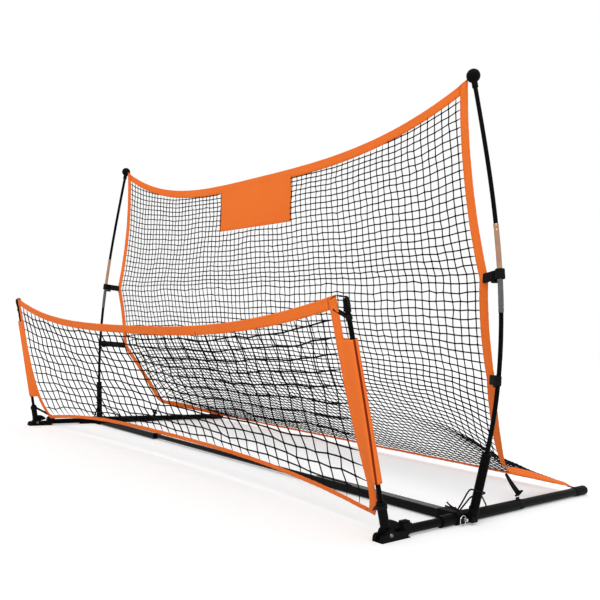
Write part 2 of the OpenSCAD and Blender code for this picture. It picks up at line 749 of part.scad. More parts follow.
// Tie from the rear corner of the net to the rear rail
module rear_tie() {
  inner = rear_rail_d / 2 + press_gap;
  y = rear_reach - rear_cap_r - rear_cap_len - 16;
  from = rear_corner + [-band_w * 0.5, -hem_w * 0.5, rail_z + tape_t / 2 + web_t / 2];
  color(black_web) {
    difference() {
      along_y([rail_x, y, rail_z], 14, 2 * (inner + web_t - 0.1));
      along_y([rail_x, y - 1, rail_z], 16, 2 * inner);
    }
    ribbon(from, [rail_x - 1, y + 7, rail_z + inner + web_t / 2], [0, 1, 0], 12, web_t);
  }
}
// Cord that holds the bow socket down: up from the joint, round the socket, down to the rail
cord_route = [
  [rail_x + 4, -36, 34], [rail_x + 8, -30, 47], [rail_x + 14, -22, 68], [rail_x + 20, -17, 84],
  [rail_x + 27, -15, 92], [rail_x + 39, -14.5, 93], [rail_x + 48, -12, 92], [rail_x + 54.5, -3, 90],
  [rail_x + 54, 6, 87], [rail_x + 46, 14, 82], [rail_x + 36, 17, 76], [rail_x + 22, 40, 60],
  [rail_x + 8, 74, 41], [rail_x + 2, 86, 31.8]
];
module retention_cord() {
  color(black_web) sweep(cord_route, cord_d / 2, cord_sides, [0.3, 0, 1]);
}

// ---- Volley frame ----
module hinge_knuckle() {
  half = knuckle_t / 2;
  web_half = half - 0.4;
  neck_half = half - 0.8;
  neck = pole_socket_d / 2 - 1;
  socket_foot = 19;
  color(black_plastic) difference() {
    union() {
      translate(hinge_point) intersection() {
        translate([-web_half, 14, -2]) rotate([0, 90, 0])
          cylinder(r = shoulder_r, h = 2 * web_half, $fn = 96);
        rotate([shoulder_cut, 0, 0]) translate([-half - 1, -6, 0.5]) cube([knuckle_t + 2, 80, 80]);
      }
      along_x([rail_x - half, -hinge_reach, rail_z], knuckle_t, 2 * (ear_r - 3));
      translate(hinge_point) rotate([pole_lean, 0, 0])
        slab([-neck_half, -neck, 1], [neck_half, neck, pole_seat - 1]);
      on_pole() translate([0, 0, socket_foot])
        cylinder(d = pole_socket_d, h = pole_socket_top - socket_foot, $fn = round_fn);
    }
    on_pole() translate([0, 0, pole_seat]) cylinder(d = pole_d + 2 * press_gap, h = 100, $fn = round_fn);
    along_x([rail_x - 60, -hinge_reach, rail_z], 120, bolt_d + 2 * run_gap);
  }
}
module volley_pole() {
  color(black_paint) on_pole() translate([0, 0, pole_seat + 0.2])
    cylinder(d = pole_d, h = pole_len - pole_seat - 0.4, $fn = round_fn);
}
module pole_cap() {
  color(black_plastic) on_pole() difference() {
    union() {
      translate([0, 0, pole_len]) sphere(d = pole_cap_d, $fn = round_fn);
      translate([0, 0, pole_len - 26]) cylinder(d = pole_cap_d, h = 26, $fn = round_fn);
    }
    translate([0, 0, pole_len - 40]) cylinder(d = pole_d + 2 * press_gap, h = 40.1, $fn = round_fn);
  }
}
volley_drop = norm(volley_top_corner - volley_low_corner);
volley_u = hem_w / volley_top_corner[0];
volley_v = hem_w / volley_drop;
module volley_net() {
  us = strand_marks(-1 + volley_u / 2, 1 - volley_u / 2, volley_cols, strand_w / volley_top_corner[0]);
  vs = strand_marks(volley_v / 2, 1 - volley_v / 2, volley_rows, strand_w / volley_drop);
  color(net_black) frame() sheet(function(u, v) volley_point(u, v), us, vs, strand_t, true);
}
volley_end_u = 1 - seam_step * volley_u;
// The net is shorter down its middle, so a hem of the true width takes a larger share there
volley_hem_v = volley_v * 1.2;
module volley_hem(vs) {
  color(orange_cloth) frame()
    sheet(function(u, v) volley_point(u, v), even_marks(-volley_end_u, volley_end_u, 24), vs, tape_t);
}
module volley_top_hem() {
  volley_hem([0, volley_hem_v]);
}
module volley_bottom_hem() {
  volley_hem([1 - volley_hem_v, 1]);
}
module volley_side_band() {
  color(orange_cloth)
    sheet(function(u, v) volley_point(u, v), [1 - volley_u, 1], even_marks(0, 1, 8), tape_t);
}
module pole_sleeve() {
  color(orange_cloth) {
    on_pole() translate([0, 0, sleeve_start]) difference() {
      cylinder(r = pole_d / 2 + cloth_gap + tape_t / 2, h = sleeve_end - sleeve_start, $fn = round_fn);
      translate([0, 0, -1]) cylinder(r = pole_d / 2 + cloth_gap, h = sleeve_end, $fn = round_fn);
    }
    sheet(function(a, b) flap_point(a, b), [0, 0.5, 1], even_marks(0, 1, 6), tape_t * 0.6);
  }
}
module volley_corner_tie() {
  top_ring = pole_len - 38;
  top_at = hinge_point + top_ring * pole_dir;
  top_out = unit(top_at - volley_top_corner + [0, 0, 20]);
  top_stop = top_at - top_out * (pole_d / 2 + cloth_gap + 1);
  low_ring = 66;
  low_at = hinge_point + low_ring * pole_dir;
  low_out = unit([low_at[0] - volley_low_corner[0], low_at[1] - volley_low_corner[1], 0]);
  low_stop = low_at - low_out * (pole_socket_d / 2 + cloth_gap + 1);
  color(black_web) {
    on_pole() translate([0, 0, top_ring - 6]) difference() {
      cylinder(r = pole_d / 2 + cloth_gap + web_t, h = 12, $fn = round_fn);
      translate([0, 0, -1]) cylinder(r = pole_d / 2 + cloth_gap, h = 14, $fn = round_fn);
    }
    ribbon(volley_top_corner + [-14, 2, -16], top_stop, [0, 0, 1], 12, web_t);
    on_pole() translate([0, 0, low_ring - 5]) difference() {
      cylinder(r = pole_socket_d / 2 + cloth_gap + web_t, h = 10, $fn = round_fn);
      translate([0, 0, -1]) cylinder(r = pole_socket_d / 2 + cloth_gap, h = 12, $fn = round_fn);
    }
    ribbon(volley_low_corner + [-12, 0, 12], low_stop, [0, 0, 1], 10, web_t);
  }
}

// ---- Lock pins and rings ----
pin_tip_x = rail_x + 2;
pin_head_x = rail_x + rail_z + saddle_t + 0.4;
pin_head_len = 10;
eye_x = pin_head_x + 5.5;
module lock_pin() {
  color(bright_metal) difference() {
    union() {
      along_x([pin_tip_x, -pin_offset, rail_z], pin_head_x - pin_tip_x + 1, pin_d);
      along_x([pin_head_x, -pin_offset, rail_z], pin_head_len, pin_d + 2);
    }
    translate([eye_x, -pin_offset - 0.35, rail_z - 20])
      cylinder(d = ring_wire_d + 1.5, h = 40, $fn = round_fn);
  }
}
module pin_ring() {
  color(bright_metal) translate([eye_x, -pin_offset - ring_r, rail_z]) rotate([0, 90, 0])
    rotate_extrude($fn = 64) translate([ring_r, 0]) circle(d = ring_wire_d, $fn = 24);
}

left() front_rail();  // front_rail_left
right() front_rail();  // front_rail_right
left() middle_rail();  // middle_rail_left
right() middle_rail();  // middle_rail_right
left() rear_rail();  // rear_rail_left
right() rear_rail();  // rear_rail_right
both() rear_cap();  // rear_caps
both() rail_bush_pair();  // rail_bushes
left() corner_joint();  // corner_joint_left
right() corner_joint();  // corner_joint_right
crossbar_center();
left() crossbar_arm();  // crossbar_arm_left
right() crossbar_arm();  // crossbar_arm_right
both() arm_plug();  // arm_plugs
left() hinge_block();  // hinge_block_left
right() hinge_block();  // hinge_block_right
both() hinge_bolt();  // hinge_bolts
both() hinge_nut();  // hinge_nuts
left() bow_socket();  // bow_socket_left
right() bow_socket();  // bow_socket_right
both() socket_bush();  // socket_bushes
left() lower_bow();  // lower_bow_left
right() lower_bow();  // lower_bow_right
left() upper_bow();  // upper_bow_left
right() upper_bow();  // upper_bow_right
both() bow_sleeve();  // bow_sleeves
both() bow_tip();  // bow_tips
rebound_net();
rebound_top_hem();
both() rebound_side_band();  // rebound_side_bands
rebound_rear_hem();
target_patch();
both() bow_strap(upper_strap_z, 1);  // upper_straps
both() bow_strap(lower_strap_z, 2);  // lower_straps
both() slider_pair();  // strap_sliders
both() hold_down_strap();  // hold_down_straps
both() strap_buckle();  // strap_buckles
both() anchor_band();  // anchor_bands
both() rear_tie();  // rear_ties
both() retention_cord();  // retention_cords
left() hinge_knuckle();  // hinge_knuckle_left
right() hinge_knuckle();  // hinge_knuckle_right
left() volley_pole();  // volley_pole_left
right() volley_pole();  // volley_pole_right
both() pole_cap();  // pole_caps
volley_net();
volley_top_hem();
volley_bottom_hem();
both() volley_side_band();  // volley_side_bands
both() pole_sleeve();  // pole_sleeves
both() volley_corner_tie();  // volley_corner_ties
left() latch_button();  // latch_button_left
right() latch_button();  // latch_button_right
left() snap_button();  // snap_button_left
right() snap_button();  // snap_button_right
left() lock_pin();  // lock_pin_left
right() lock_pin();  // lock_pin_right
left() pin_ring();  // pin_ring_left
right() pin_ring();  // pin_ring_right
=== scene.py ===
import math

import bmesh
import bpy
import numpy as np
from mathutils import Matrix


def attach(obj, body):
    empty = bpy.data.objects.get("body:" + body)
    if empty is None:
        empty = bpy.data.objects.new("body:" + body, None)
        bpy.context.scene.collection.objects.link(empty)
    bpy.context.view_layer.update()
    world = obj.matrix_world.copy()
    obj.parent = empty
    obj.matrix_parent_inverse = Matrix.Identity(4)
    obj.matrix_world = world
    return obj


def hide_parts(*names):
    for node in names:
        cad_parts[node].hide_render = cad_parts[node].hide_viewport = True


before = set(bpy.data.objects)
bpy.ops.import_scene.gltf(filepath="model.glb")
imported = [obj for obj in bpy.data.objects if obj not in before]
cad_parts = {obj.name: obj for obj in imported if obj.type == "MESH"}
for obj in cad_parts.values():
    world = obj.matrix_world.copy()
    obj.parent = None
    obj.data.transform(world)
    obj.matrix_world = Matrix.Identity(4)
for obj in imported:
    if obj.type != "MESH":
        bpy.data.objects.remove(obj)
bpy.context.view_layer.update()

bl_info = {
    "name": "Ball rebounder",
    "version": (1, 0, 0),
    "blender": (4, 5, 0),
    "location": "3D View > Sidebar > Rebounder",
    "description": "Nets, tape, webbing and finishes for a two sided ball rebounder",
    "category": "Object",
}


def vec(*values):
    """Numbers, or rows of them, as an array of floats."""
    return np.array(values, float)


def sums(steps):
    """Running sums of some steps, from nought."""
    return np.concatenate([[0.0], np.cumsum(steps)])


# ---- Sizes shared with the solid model, in metres ----
MIDDLE_Y = 0.124998  # how far the model's middle lies behind the bows, where Y is nought in this script
RAIL_X = 1.010
RAIL_Z = 0.015
HINGE = vec(RAIL_X, -0.320, RAIL_Z)
BOW_LEAN = math.radians(11.3)
SOCKET_TOP = 0.175
ROD_DEPTH = 0.0898
TIP_HEIGHT = 1.201
BOW_TOP_X = RAIL_X + 0.024 + math.tan(BOW_LEAN) * SOCKET_TOP
TIP_X = RAIL_X - 0.039
BEND_LENGTH = TIP_HEIGHT - SOCKET_TOP
BOW_BEND = 3 * (math.tan(BOW_LEAN) * BEND_LENGTH - (TIP_X - BOW_TOP_X)) / BEND_LENGTH**2
BOW_R = 0.006
POLE_R = 0.006
POLE_LEN = 0.550
POLE_LEAN = math.radians(15)
POLE_TOE = math.radians(4)
POLE_DIR = vec(
    -math.sin(POLE_TOE),
    -math.cos(POLE_TOE) * math.sin(POLE_LEAN),
    math.cos(POLE_TOE) * math.cos(POLE_LEAN),
)
POLE_TOP = HINGE + POLE_LEN * POLE_DIR
VOLLEY_IN, VOLLEY_FRONT = 0.022, 0.007
VOLLEY_DRAWN_IN, VOLLEY_DRAWN_BACK = 0.0444, 0.050
VOLLEY_POWER = 2.8
VOLLEY_TOP = POLE_TOP + vec(-VOLLEY_IN, -VOLLEY_FRONT, 0.014)
VOLLEY_LOW = HINGE + vec(-0.068, 0.037, 0.022)
VOLLEY_MIDDLE = vec([-0.485, 0.464], [-0.265, 0.091])
VOLLEY_HEMS = (0.030, 0.017)
TOP_HEM_W = 0.030
HEM_W = 0.025
BAND_W = 0.030
WEB_W = 0.026
WEB_T = 0.0018
CLOTH_GAP = 0.0003
STRAP_HEIGHTS = (0.642, 0.363)
SLEEVE_LOW, SLEEVE_HIGH, SLEEVE_WALL = 0.540, 0.776, 0.0011
EDGE_STATIONS = vec(
    [TIP_X - 0.017, 0.0, TIP_HEIGHT - 0.0037],
    [RAIL_X + 0.017, 0.035, 0.635],
    [RAIL_X + 0.019, 0.091, 0.361],
    [RAIL_X - 0.042, 0.283, 0.084],
    [RAIL_X - 0.022, 0.684, 0.006],
)
EDGE_SAG = vec([-0.022, 0.007, 0.0], [-0.009, 0.003, 0.0], [-0.006, 0.0, 0.0], [0.0, 0.0, 0.0])
NET_POWERS = ((0, 0.33, 0.60, 0.743, 1), (3.2, 4.0, 4.6, 6.5, 8.0))
LOPSIDED, LOPSIDED_FADE = 0.024, 2.2
REAR_ROLL, ROLL_START, ROLL_END = 0.009, 2.4, 14
MIDDLE_STATIONS = vec([0.022, 1.0464], [0.055, 0.640], [0.120, 0.400], [0.288, 0.212], [0.686, 0.008])
STATION_GAPS = np.linalg.norm(np.diff(EDGE_STATIONS, axis=0), axis=1)
STATION_SUMS = sums(STATION_GAPS)
NET_RUN = float(STATION_SUMS[-1])
REBOUND_V = HEM_W / NET_RUN
FOLD = EDGE_STATIONS[3]
HEM_START = 0.0005
PATCH_W, PATCH_H, PATCH_T = 0.43, 0.185, 0.0034
PATCH_U = PATCH_W / 2 / TIP_X
PATCH_STEP = float(STATION_GAPS[0] / ((MIDDLE_STATIONS[0, 1] - MIDDLE_STATIONS[1, 1]) * NET_RUN))
PATCH_TOP = TOP_HEM_W * 0.92 * PATCH_STEP
PATCH_V = REBOUND_V + PATCH_H * PATCH_STEP
RIPPLE_PITCH, RIPPLE_STEPS = 0.027, (1, 3.7, 9.1)
RAIL_BAND_R = 0.01305
KNUCKLE_R = 0.0115
POLE_SLEEVE_R, POLE_SLEEVE_SPAN = (0.0115, 0.0107), (0.122, 0.462)
GROOVE_ANGLE = 2.40
ROD_GAP = 0.0002
STEP = 0.002
ALONG, UP = vec(0, 1, 0), vec(0, 0, 1)
ORANGE = ["orange_weave", "orange_thread"]
BLACK = ["black_web", "black_thread"]


# ---- Small numeric helpers ----
def mix(a, b, t):
    """a plus t times the step from a to b."""
    return a + (b - a) * t


def unit(a):
    """The vectors divided by their lengths."""
    return a / np.maximum(np.linalg.norm(a, axis=-1, keepdims=True), 1e-12)


def smooth(rows, k, t):
    """The Catmull-Rom cubic through rows of points, at a share t of the way from row k to the next one."""
    a, b, c, d = (rows[np.clip(k + step, 0, len(rows) - 1)] for step in (-1, 0, 1, 2))
    return b + 0.5 * t * (c - a + t * (2 * a - 5 * b + 4 * c - d + t * (3 * (b - c) + d - a)))


def spaced(count):
    """Steps from 0 to 1 that crowd towards both ends: half of one minus the cosine."""
    return 0.5 - 0.5 * np.cos(np.linspace(0, np.pi, count))


def even(count):
    """Even steps from 0 to 1."""
    return np.linspace(0, 1, count)


def travelled(points):
    """How far along a row of points each one lies."""
    return sums(np.linalg.norm(np.diff(points, axis=0), axis=-1))


def bell(x, centre, width):
    """A bell of height one: e to the minus square of the way from its centre over its width."""
    return np.exp(-((x - centre) / width) ** 2)


# ---- Surfaces and curves of the object ----
def rebound_surface(u, v):
    """The tall net. v walks down the side edge by length, from the bow tip to the rear rail end, while u goes
    across from -1 to 1. The edge is pulled off the straight line between two clips by a parabola. Height and
    depth run from the middle line, a Catmull-Rom curve, to the edge with a power of u that rises from top to
    rear. The upper half hangs a little lopsided, by u times one minus u squared. Behind the fold the border
    is rolled up: a hump of s times e to the minus s, s being the way in from the edge."""
    u, v = np.broadcast_arrays(np.asarray(u, float), np.asarray(v, float))
    run = np.clip(v, -0.02, 1.02) * NET_RUN
    k = np.clip(np.searchsorted(STATION_SUMS, run, side="right") - 1, 0, 3)
    t = ((run - STATION_SUMS[k]) / STATION_GAPS[k])[..., None]
    edge = mix(EDGE_STATIONS[k], EDGE_STATIONS[k + 1], t) + 4 * t * (1 - t) * EDGE_SAG[k]
    middle = smooth(MIDDLE_STATIONS, k, t)
    w = np.abs(u) ** np.interp(v, *NET_POWERS)
    lopsided = LOPSIDED * u * (1 - u * u) * np.clip(1 - v * LOPSIDED_FADE, 0, 1)
    s = np.maximum(1 - np.abs(u), 0) * RAIL_X / BAND_W
    t = np.clip(t[..., 0], 0, 1)
    behind = np.where(k == 3, np.clip(ROLL_START * t, 0, 1) * np.clip(ROLL_END * (1 - t), 0, 1), 0.0)
    roll = REAR_ROLL * behind * s * np.exp(1 - s)
    return np.stack([u * edge[..., 0], mix(middle[..., 0], edge[..., 1], w),
                     RAIL_Z + mix(middle[..., 1], edge[..., 2], w) + roll + lopsided], -1)


def walked(surface, us, v, width):
    """How much v grows over a tape's width at each u: the width, over how far the surface moves with v."""
    step = surface(us, v + STEP) - surface(us, v - STEP)
    return width * (2 * STEP) / np.linalg.norm(step, axis=-1)


def volley_surface(u, v):
    """The low net. u goes across and v down. Its side edges follow the poles, a little inside them, and are
    drawn in and back at the lower corners with high powers of v. Height and depth run from the middle line,
    which is straight from hem to hem, to the edge with a power of u."""
    u, v = np.broadcast_arrays(np.asarray(u, float), np.asarray(v, float))
    low = np.clip(v, 0, 1)
    height = mix(VOLLEY_TOP[2], VOLLEY_LOW[2], v)
    pole = HINGE + ((height - HINGE[2]) / POLE_DIR[2])[..., None] * POLE_DIR
    edge_x = pole[..., 0] - VOLLEY_IN - VOLLEY_DRAWN_IN * low**12
    edge_y = pole[..., 1] - VOLLEY_FRONT + VOLLEY_DRAWN_BACK * low**4
    middle = mix(VOLLEY_MIDDLE[0], VOLLEY_MIDDLE[1], v[..., None])
    w = np.abs(u) ** VOLLEY_POWER
    return np.stack([u * edge_x, mix(middle[..., 0], edge_y, w), mix(middle[..., 1], height, w)], -1)


def normals(surface, u, v):
    """Unit normals of a surface, from the cross product of small steps in u and v."""
    across, down = surface(u + STEP, v) - surface(u - STEP, v), surface(u, v + STEP) - surface(u, v - STEP)
    return unit(np.cross(across, down))


def rebound_hems(u):
    """The v at which the tall net's top hem ends and its rear hem starts, at each u."""
    top, rear = walked(rebound_surface, u, 0.01, TOP_HEM_W), walked(rebound_surface, u, 0.99, HEM_W)
    return HEM_START + top, 1 - rear


def volley_hems(u):
    """The v at which the low net's top hem ends and its bottom hem starts, at each u."""
    top, bottom = VOLLEY_HEMS
    return walked(volley_surface, u, 0.03, top), 1 - walked(volley_surface, u, 0.97, bottom)


def bow_x(h):
    """How far out the bow stands at a height: a straight lean in the socket, then a cantilever's curve."""
    s = np.asarray(h, float) - SOCKET_TOP
    bent = BOW_BEND * (s * s / 2 - s**3 / (6 * BEND_LENGTH))
    return BOW_TOP_X + math.tan(BOW_LEAN) * s - np.where(s > 0, bent, 0.0)


def bow_points(heights):
    """Centres of the bow at some heights above the rail axis."""
    heights = np.asarray(heights, float)
    return np.stack([bow_x(heights), np.zeros_like(heights), RAIL_Z + heights], -1)


def pole_points(s):
    """Points of the pole's axis at distances s from the hinge."""
    return HINGE + np.asarray(s, float)[..., None] * POLE_DIR


# ---- Mesh building ----
def skin(points, closed_along=False, lengths=None):
    """Quads over grids of points, shaped (many, along, round, 3), that close all round. Returns one part: its
    points, and blocks of faces with a pair of pattern coordinates, in metres, for every corner."""
    many, along, round_, _ = points.shape
    rows = along if closed_along else along - 1
    i, j = np.meshgrid(np.arange(rows), np.arange(round_), indexing="ij")
    turn = ((0, 0), (1, 0), (1, 1), (0, 1))
    quads = np.stack([(i + a) % along * round_ + (j + b) % round_ for a, b in turn], -1).reshape(-1, 4)
    faces = quads[None] + (np.arange(many) * along * round_)[:, None, None]
    if lengths is None:
        first = points[0]
        lengths = (np.linalg.norm(np.diff(first[:, 0], axis=0, append=first[:1, 0]), axis=-1),
                   np.linalg.norm(np.diff(first[0], axis=0, append=first[0][:1]), axis=-1))
    us, vs = sums(lengths[0]), sums(lengths[1])
    corners = np.stack([np.stack([us[i + a], vs[j + b]], -1) for a, b in turn], 2).reshape(-1, 4, 2)
    return points.reshape(-1, 3), [(faces.reshape(-1, 4), np.tile(corners, (many, 1, 1)))]


def tubes(paths, radius, sides, side_ref):
    """Round tubes round many paths, shaped (many, along, 3): circles in the plane square to each path,
    with flat caps at both ends."""
    tangent = unit(np.gradient(paths, axis=1))
    a = unit(np.cross(np.broadcast_to(side_ref, paths.shape), tangent))
    b = np.cross(tangent, a)
    angle = np.linspace(0, 2 * np.pi, sides, endpoint=False)
    radius = np.broadcast_to(np.asarray(radius, float), paths.shape[:2])
    ring = np.cos(angle)[:, None] * a[:, :, None] + np.sin(angle)[:, None] * b[:, :, None]
    points, walls = skin(paths[:, :, None] + radius[:, :, None, None] * ring)
    many, along = paths.shape[:2]
    start = (np.arange(many) * along * sides)[:, None]
    caps = np.concatenate([start + np.arange(sides)[::-1], start + (along - 1) * sides + np.arange(sides)])
    return points, walls + [(caps, np.zeros(caps.shape + (2,)))]


def strip(middle, up, thick, along_len, across_len, edge=6.0, end=60):
    """A closed strip of cloth over a grid of middle points: both faces stand off by half the thickness times
    the root of one minus a high power of the place across and along, so all its borders are round."""
    n, m, _ = middle.shape
    s = np.abs(2 * spaced(m) - 1)[None, :]
    t = np.abs(np.linspace(-1, 1, n))[:, None]
    stand = thick / 2 * np.sqrt(np.clip(1 - s**edge, 0, 1)) * np.sqrt(np.clip(1 - t**end, 0, 1))
    top, low = middle + up * stand[..., None], middle - up * stand[..., None]
    loop = np.concatenate([top, low[:, 1:-1][:, ::-1]], axis=1)
    widths = np.diff(spaced(m)) * across_len
    return skin(loop[None], lengths=(np.full(n, along_len / (n - 1)), np.concatenate([widths, widths[::-1]])))


def scatter(shape, faces, centres, axes, sizes):
    """Copies of a small shape: its points are scaled, turned into each copy's own three axes and moved."""
    points = np.einsum("nij,kj->nki", axes, shape * np.asarray(sizes)) + centres[:, None]
    faces = (faces[None] + (np.arange(len(centres)) * len(shape))[:, None, None]).reshape(-1, faces.shape[1])
    return points.reshape(-1, 3), [(faces, np.zeros(faces.shape + (2,)))]


def knot_shape():
    """Twelve points of an icosahedron, of radius one, and its twenty faces."""
    g = (1 + 5**0.5) / 2
    p = np.array([[-1, g, 0], [1, g, 0], [-1, -g, 0], [1, -g, 0], [0, -1, g], [0, 1, g],
                  [0, -1, -g], [0, 1, -g], [g, 0, -1], [g, 0, 1], [-g, 0, -1], [-g, 0, 1]])
    f = np.array([[0, 11, 5], [0, 5, 1], [0, 1, 7], [0, 7, 10], [0, 10, 11], [1, 5, 9], [5, 11, 4],
                  [11, 10, 2], [10, 7, 6], [7, 1, 8], [3, 9, 4], [3, 4, 2], [3, 2, 6], [3, 6, 8],
                  [3, 8, 9], [4, 9, 5], [2, 4, 11], [6, 2, 10], [8, 6, 7], [9, 8, 1]])
    return unit(p.astype(float)), f


def stitch_shape():
    """One stitch: a bar with six points and eight faces, pointed at both ends."""
    p = np.array([[-1, 0, 0], [0, 1, 0], [0, 0, 1], [0, -1, 0], [0, 0, -1], [1, 0, 0]], float)
    f = np.array([[0, 2, 1], [0, 3, 2], [0, 4, 3], [0, 1, 4], [5, 1, 2], [5, 2, 3], [5, 3, 4], [5, 4, 1]])
    return p, f


def seam(points, up, thick, place, length=0.0045, gap=0.0062, steps=spaced):
    """Two rows of stitches, on both faces of a strip at one place across it, as parts that take its second
    finish. Each stitch points along."""
    m = points.shape[1]
    k = np.interp(place, steps(m), np.arange(m))
    low = int(k)
    line, out = mix(points[:, low], points[:, min(low + 1, m - 1)], k - low), up[:, low]
    run = travelled(line)
    at = np.arange(gap, run[-1] - gap, gap)
    centre = np.stack([np.interp(at, run, line[:, c]) for c in range(3)], -1)
    normal = unit(np.stack([np.interp(at, run, out[:, c]) for c in range(3)], -1))
    tangent = unit(np.gradient(centre, axis=0))
    side = np.cross(normal, tangent)
    axes = np.stack([tangent, side, normal], -1)
    shape, faces = stitch_shape()
    sizes = (length / 2, 0.0005, 0.0004)
    return [(scatter(shape, faces, centre + d * normal * thick * 0.49, axes, sizes), 1) for d in (1, -1)]


def mirrored(part):
    """The same part on the other side, with its faces turned to keep them outward."""
    points, blocks = part
    return points * vec(-1, 1, 1), [(faces[:, ::-1], corners[:, ::-1]) for faces, corners in blocks]


def both_sides(parts):
    """Parts and their mirror images."""
    return parts + [(mirrored(part), index) for part, index in parts]


def add_object(data):
    """A scene object that holds the data and shares its name."""
    item = bpy.data.objects.new(data.name, data)
    bpy.context.scene.collection.objects.link(item)
    return item


def make_piece(node, kind, parts, finishes, body="root"):
    """Joins parts, each with its finish's number, into one mesh piece in the model's frame. Welds the points
    that meet, turns the faces outwards and lets the piece ride on its body in place of the node."""
    mesh = bpy.data.meshes.new(f"{node}_{kind}")
    loops, starts, uvs, numbers = [], [], [], []
    base, total = 0, 0
    for (points, blocks), index in parts:
        for faces, corners in blocks:
            loops.append((faces + base).ravel())
            starts.append(total + np.arange(len(faces)) * faces.shape[1])
            uvs.append(corners.ravel())
            numbers.append(np.full(len(faces), index))
            total += faces.size
        base += len(points)
    points = np.concatenate([points for (points, _), _ in parts]) - MIDDLE_Y * ALONG
    starts = np.concatenate(starts)
    mesh.vertices.add(base)
    mesh.vertices.foreach_set("co", points.astype(np.float32).ravel())
    mesh.loops.add(total)
    mesh.loops.foreach_set("vertex_index", np.concatenate(loops).astype(np.int32))
    mesh.polygons.add(len(starts))
    mesh.polygons.foreach_set("loop_start", starts.astype(np.int32))
    mesh.uv_layers.new(name="metres")
    mesh.uv_layers["metres"].data.foreach_set("uv", np.concatenate(uvs).astype(np.float32))
    for finish in finishes:
        mesh.materials.append(finish_named(finish))
    mesh.polygons.foreach_set("material_index", np.concatenate(numbers).astype(np.int32))
    mesh.polygons.foreach_set("use_smooth", np.ones(len(starts), bool))
    mesh.update(calc_edges=True)
    mesh.validate()
    bm = bmesh.new()
    bm.from_mesh(mesh)
    bmesh.ops.remove_doubles(bm, verts=bm.verts, dist=2e-7)
    bmesh.ops.recalc_face_normals(bm, faces=bm.faces)
    bm.to_mesh(mesh)
    bm.free()
    piece = add_object(mesh)
    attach(piece, body)
    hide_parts(node)
    return piece


# ---- Shader node groups ----
def add_node(tree, kind, x, y, **values):
    """One shader node at a place, with its own settings."""
    node = tree.nodes.new("ShaderNode" + kind)
    node.location = (x, y)
    for key, value in values.items():
        setattr(node, key, value)
    return node


def number(tree, operation, a, b=None, x=0, y=0, c=None):
    """One Math node; each input is a number or another node's output."""
    node = add_node(tree, "Math", x, y, operation=operation)
    for socket, value in zip(node.inputs, (a, b, c)):
        if isinstance(value, (int, float)):
            socket.default_value = value
        elif value is not None:
            link(value, socket)
    return node.outputs[0]


def link(source, target):
    """Links an output to an input of the same tree."""
    target.id_data.links.new(source, target)


def put(node, values):
    """Sets a node's inputs, each by its label or number."""
    for label, value in values.items():
        node.inputs[label].default_value = value


def new_material(name):
    """A material with nodes, its tree and its shader."""
    mat = bpy.data.materials.new(name)
    mat.use_nodes = True
    return mat, mat.node_tree, mat.node_tree.nodes["Principled BSDF"]


def new_group(name, numbers, results):
    """An empty node group that takes a vector and some numbers and gives results, and its two end nodes."""
    tree = bpy.data.node_groups.new(name, "ShaderNodeTree")
    tree.interface.new_socket("Vector", in_out="INPUT", socket_type="NodeSocketVector")
    for label, value in numbers.items():
        tree.interface.new_socket(label, in_out="INPUT", socket_type="NodeSocketFloat").default_value = value
    for label in results:
        tree.interface.new_socket(label, in_out="OUTPUT", socket_type="NodeSocketFloat")
    given, out = tree.nodes.new("NodeGroupInput"), tree.nodes.new("NodeGroupOutput")
    given.location, out.location = (-1200, 0), (600, 0)
    return tree, given, out


def weave_group():
    """Plain weave: the height is the product of two sines, one along and one across. Rib blends it into ribs,
    the size of the first sine alone. The shade is painted shade: it follows the height, so the colour is
    darker where the weave is low, in the dips between the threads."""
    if "Plain weave" in bpy.data.node_groups:
        return bpy.data.node_groups["Plain weave"]
    tree, given, out = new_group("Plain weave", {"Thread pitch": 0.0011, "Rib": 0.0}, ("Height", "Shade"))
    split = add_node(tree, "SeparateXYZ", -1000, 0)
    link(given.outputs["Vector"], split.inputs[0])
    waves = []
    for axis, y in ((0, 0), (1, -200)):
        turns = number(tree, "DIVIDE", split.outputs[axis], given.outputs["Thread pitch"], -800, y)
        waves.append(number(tree, "SINE", number(tree, "MULTIPLY", turns, math.pi, -650, y), None, -500, y))
    product = number(tree, "MULTIPLY", waves[0], waves[1], -350, 0)
    ribs = number(tree, "ABSOLUTE", waves[0], None, -350, -200)
    blend = add_node(tree, "Mix", -150, 0)
    link(given.outputs["Rib"], blend.inputs[0])
    link(product, blend.inputs[2])
    link(ribs, blend.inputs[3])
    link(blend.outputs[0], out.inputs["Height"])
    # Painted shade: darker where the weave is low, a little lighter where it is high.
    shade = number(tree, "MULTIPLY_ADD", blend.outputs[0], 0.12, 100, -200, c=0.92)
    link(shade, out.inputs["Shade"])
    return tree


def grime_group():
    """Slow stains and fine scuffs: a wide noise for tone, a fine noise for grain and one stretched along Y
    for scratches."""
    if "Handling marks" in bpy.data.node_groups:
        return bpy.data.node_groups["Handling marks"]
    sizes = {"Stain size": 9.0, "Grain size": 900.0}
    tree, given, out = new_group("Handling marks", sizes, ("Tone", "Grain", "Scuff"))
    wide, fine, scratch = (add_node(tree, "TexNoise", -800, y) for y in (200, 0, -250))
    stretch = add_node(tree, "Mapping", -1000, -250)
    put(stretch, {"Scale": (160.0, 6.0, 160.0)})
    link(given.outputs["Vector"], stretch.inputs[0])
    link(stretch.outputs[0], scratch.inputs["Vector"])
    put(scratch, {"Scale": 2.0, "Detail": 4.0})
    for node, label, detail in ((wide, "Stain size", 4.0), (fine, "Grain size", 2.0)):
        link(given.outputs["Vector"], node.inputs["Vector"])
        link(given.outputs[label], node.inputs["Scale"])
        put(node, {"Detail": detail})
    ramp = add_node(tree, "MapRange", -500, -250)
    put(ramp, {"From Min": 0.62, "From Max": 0.78})
    link(scratch.outputs[0], ramp.inputs[0])
    for node, label in ((wide, "Tone"), (fine, "Grain"), (ramp, "Scuff")):
        link(node.outputs[0], out.inputs[label])
    return tree


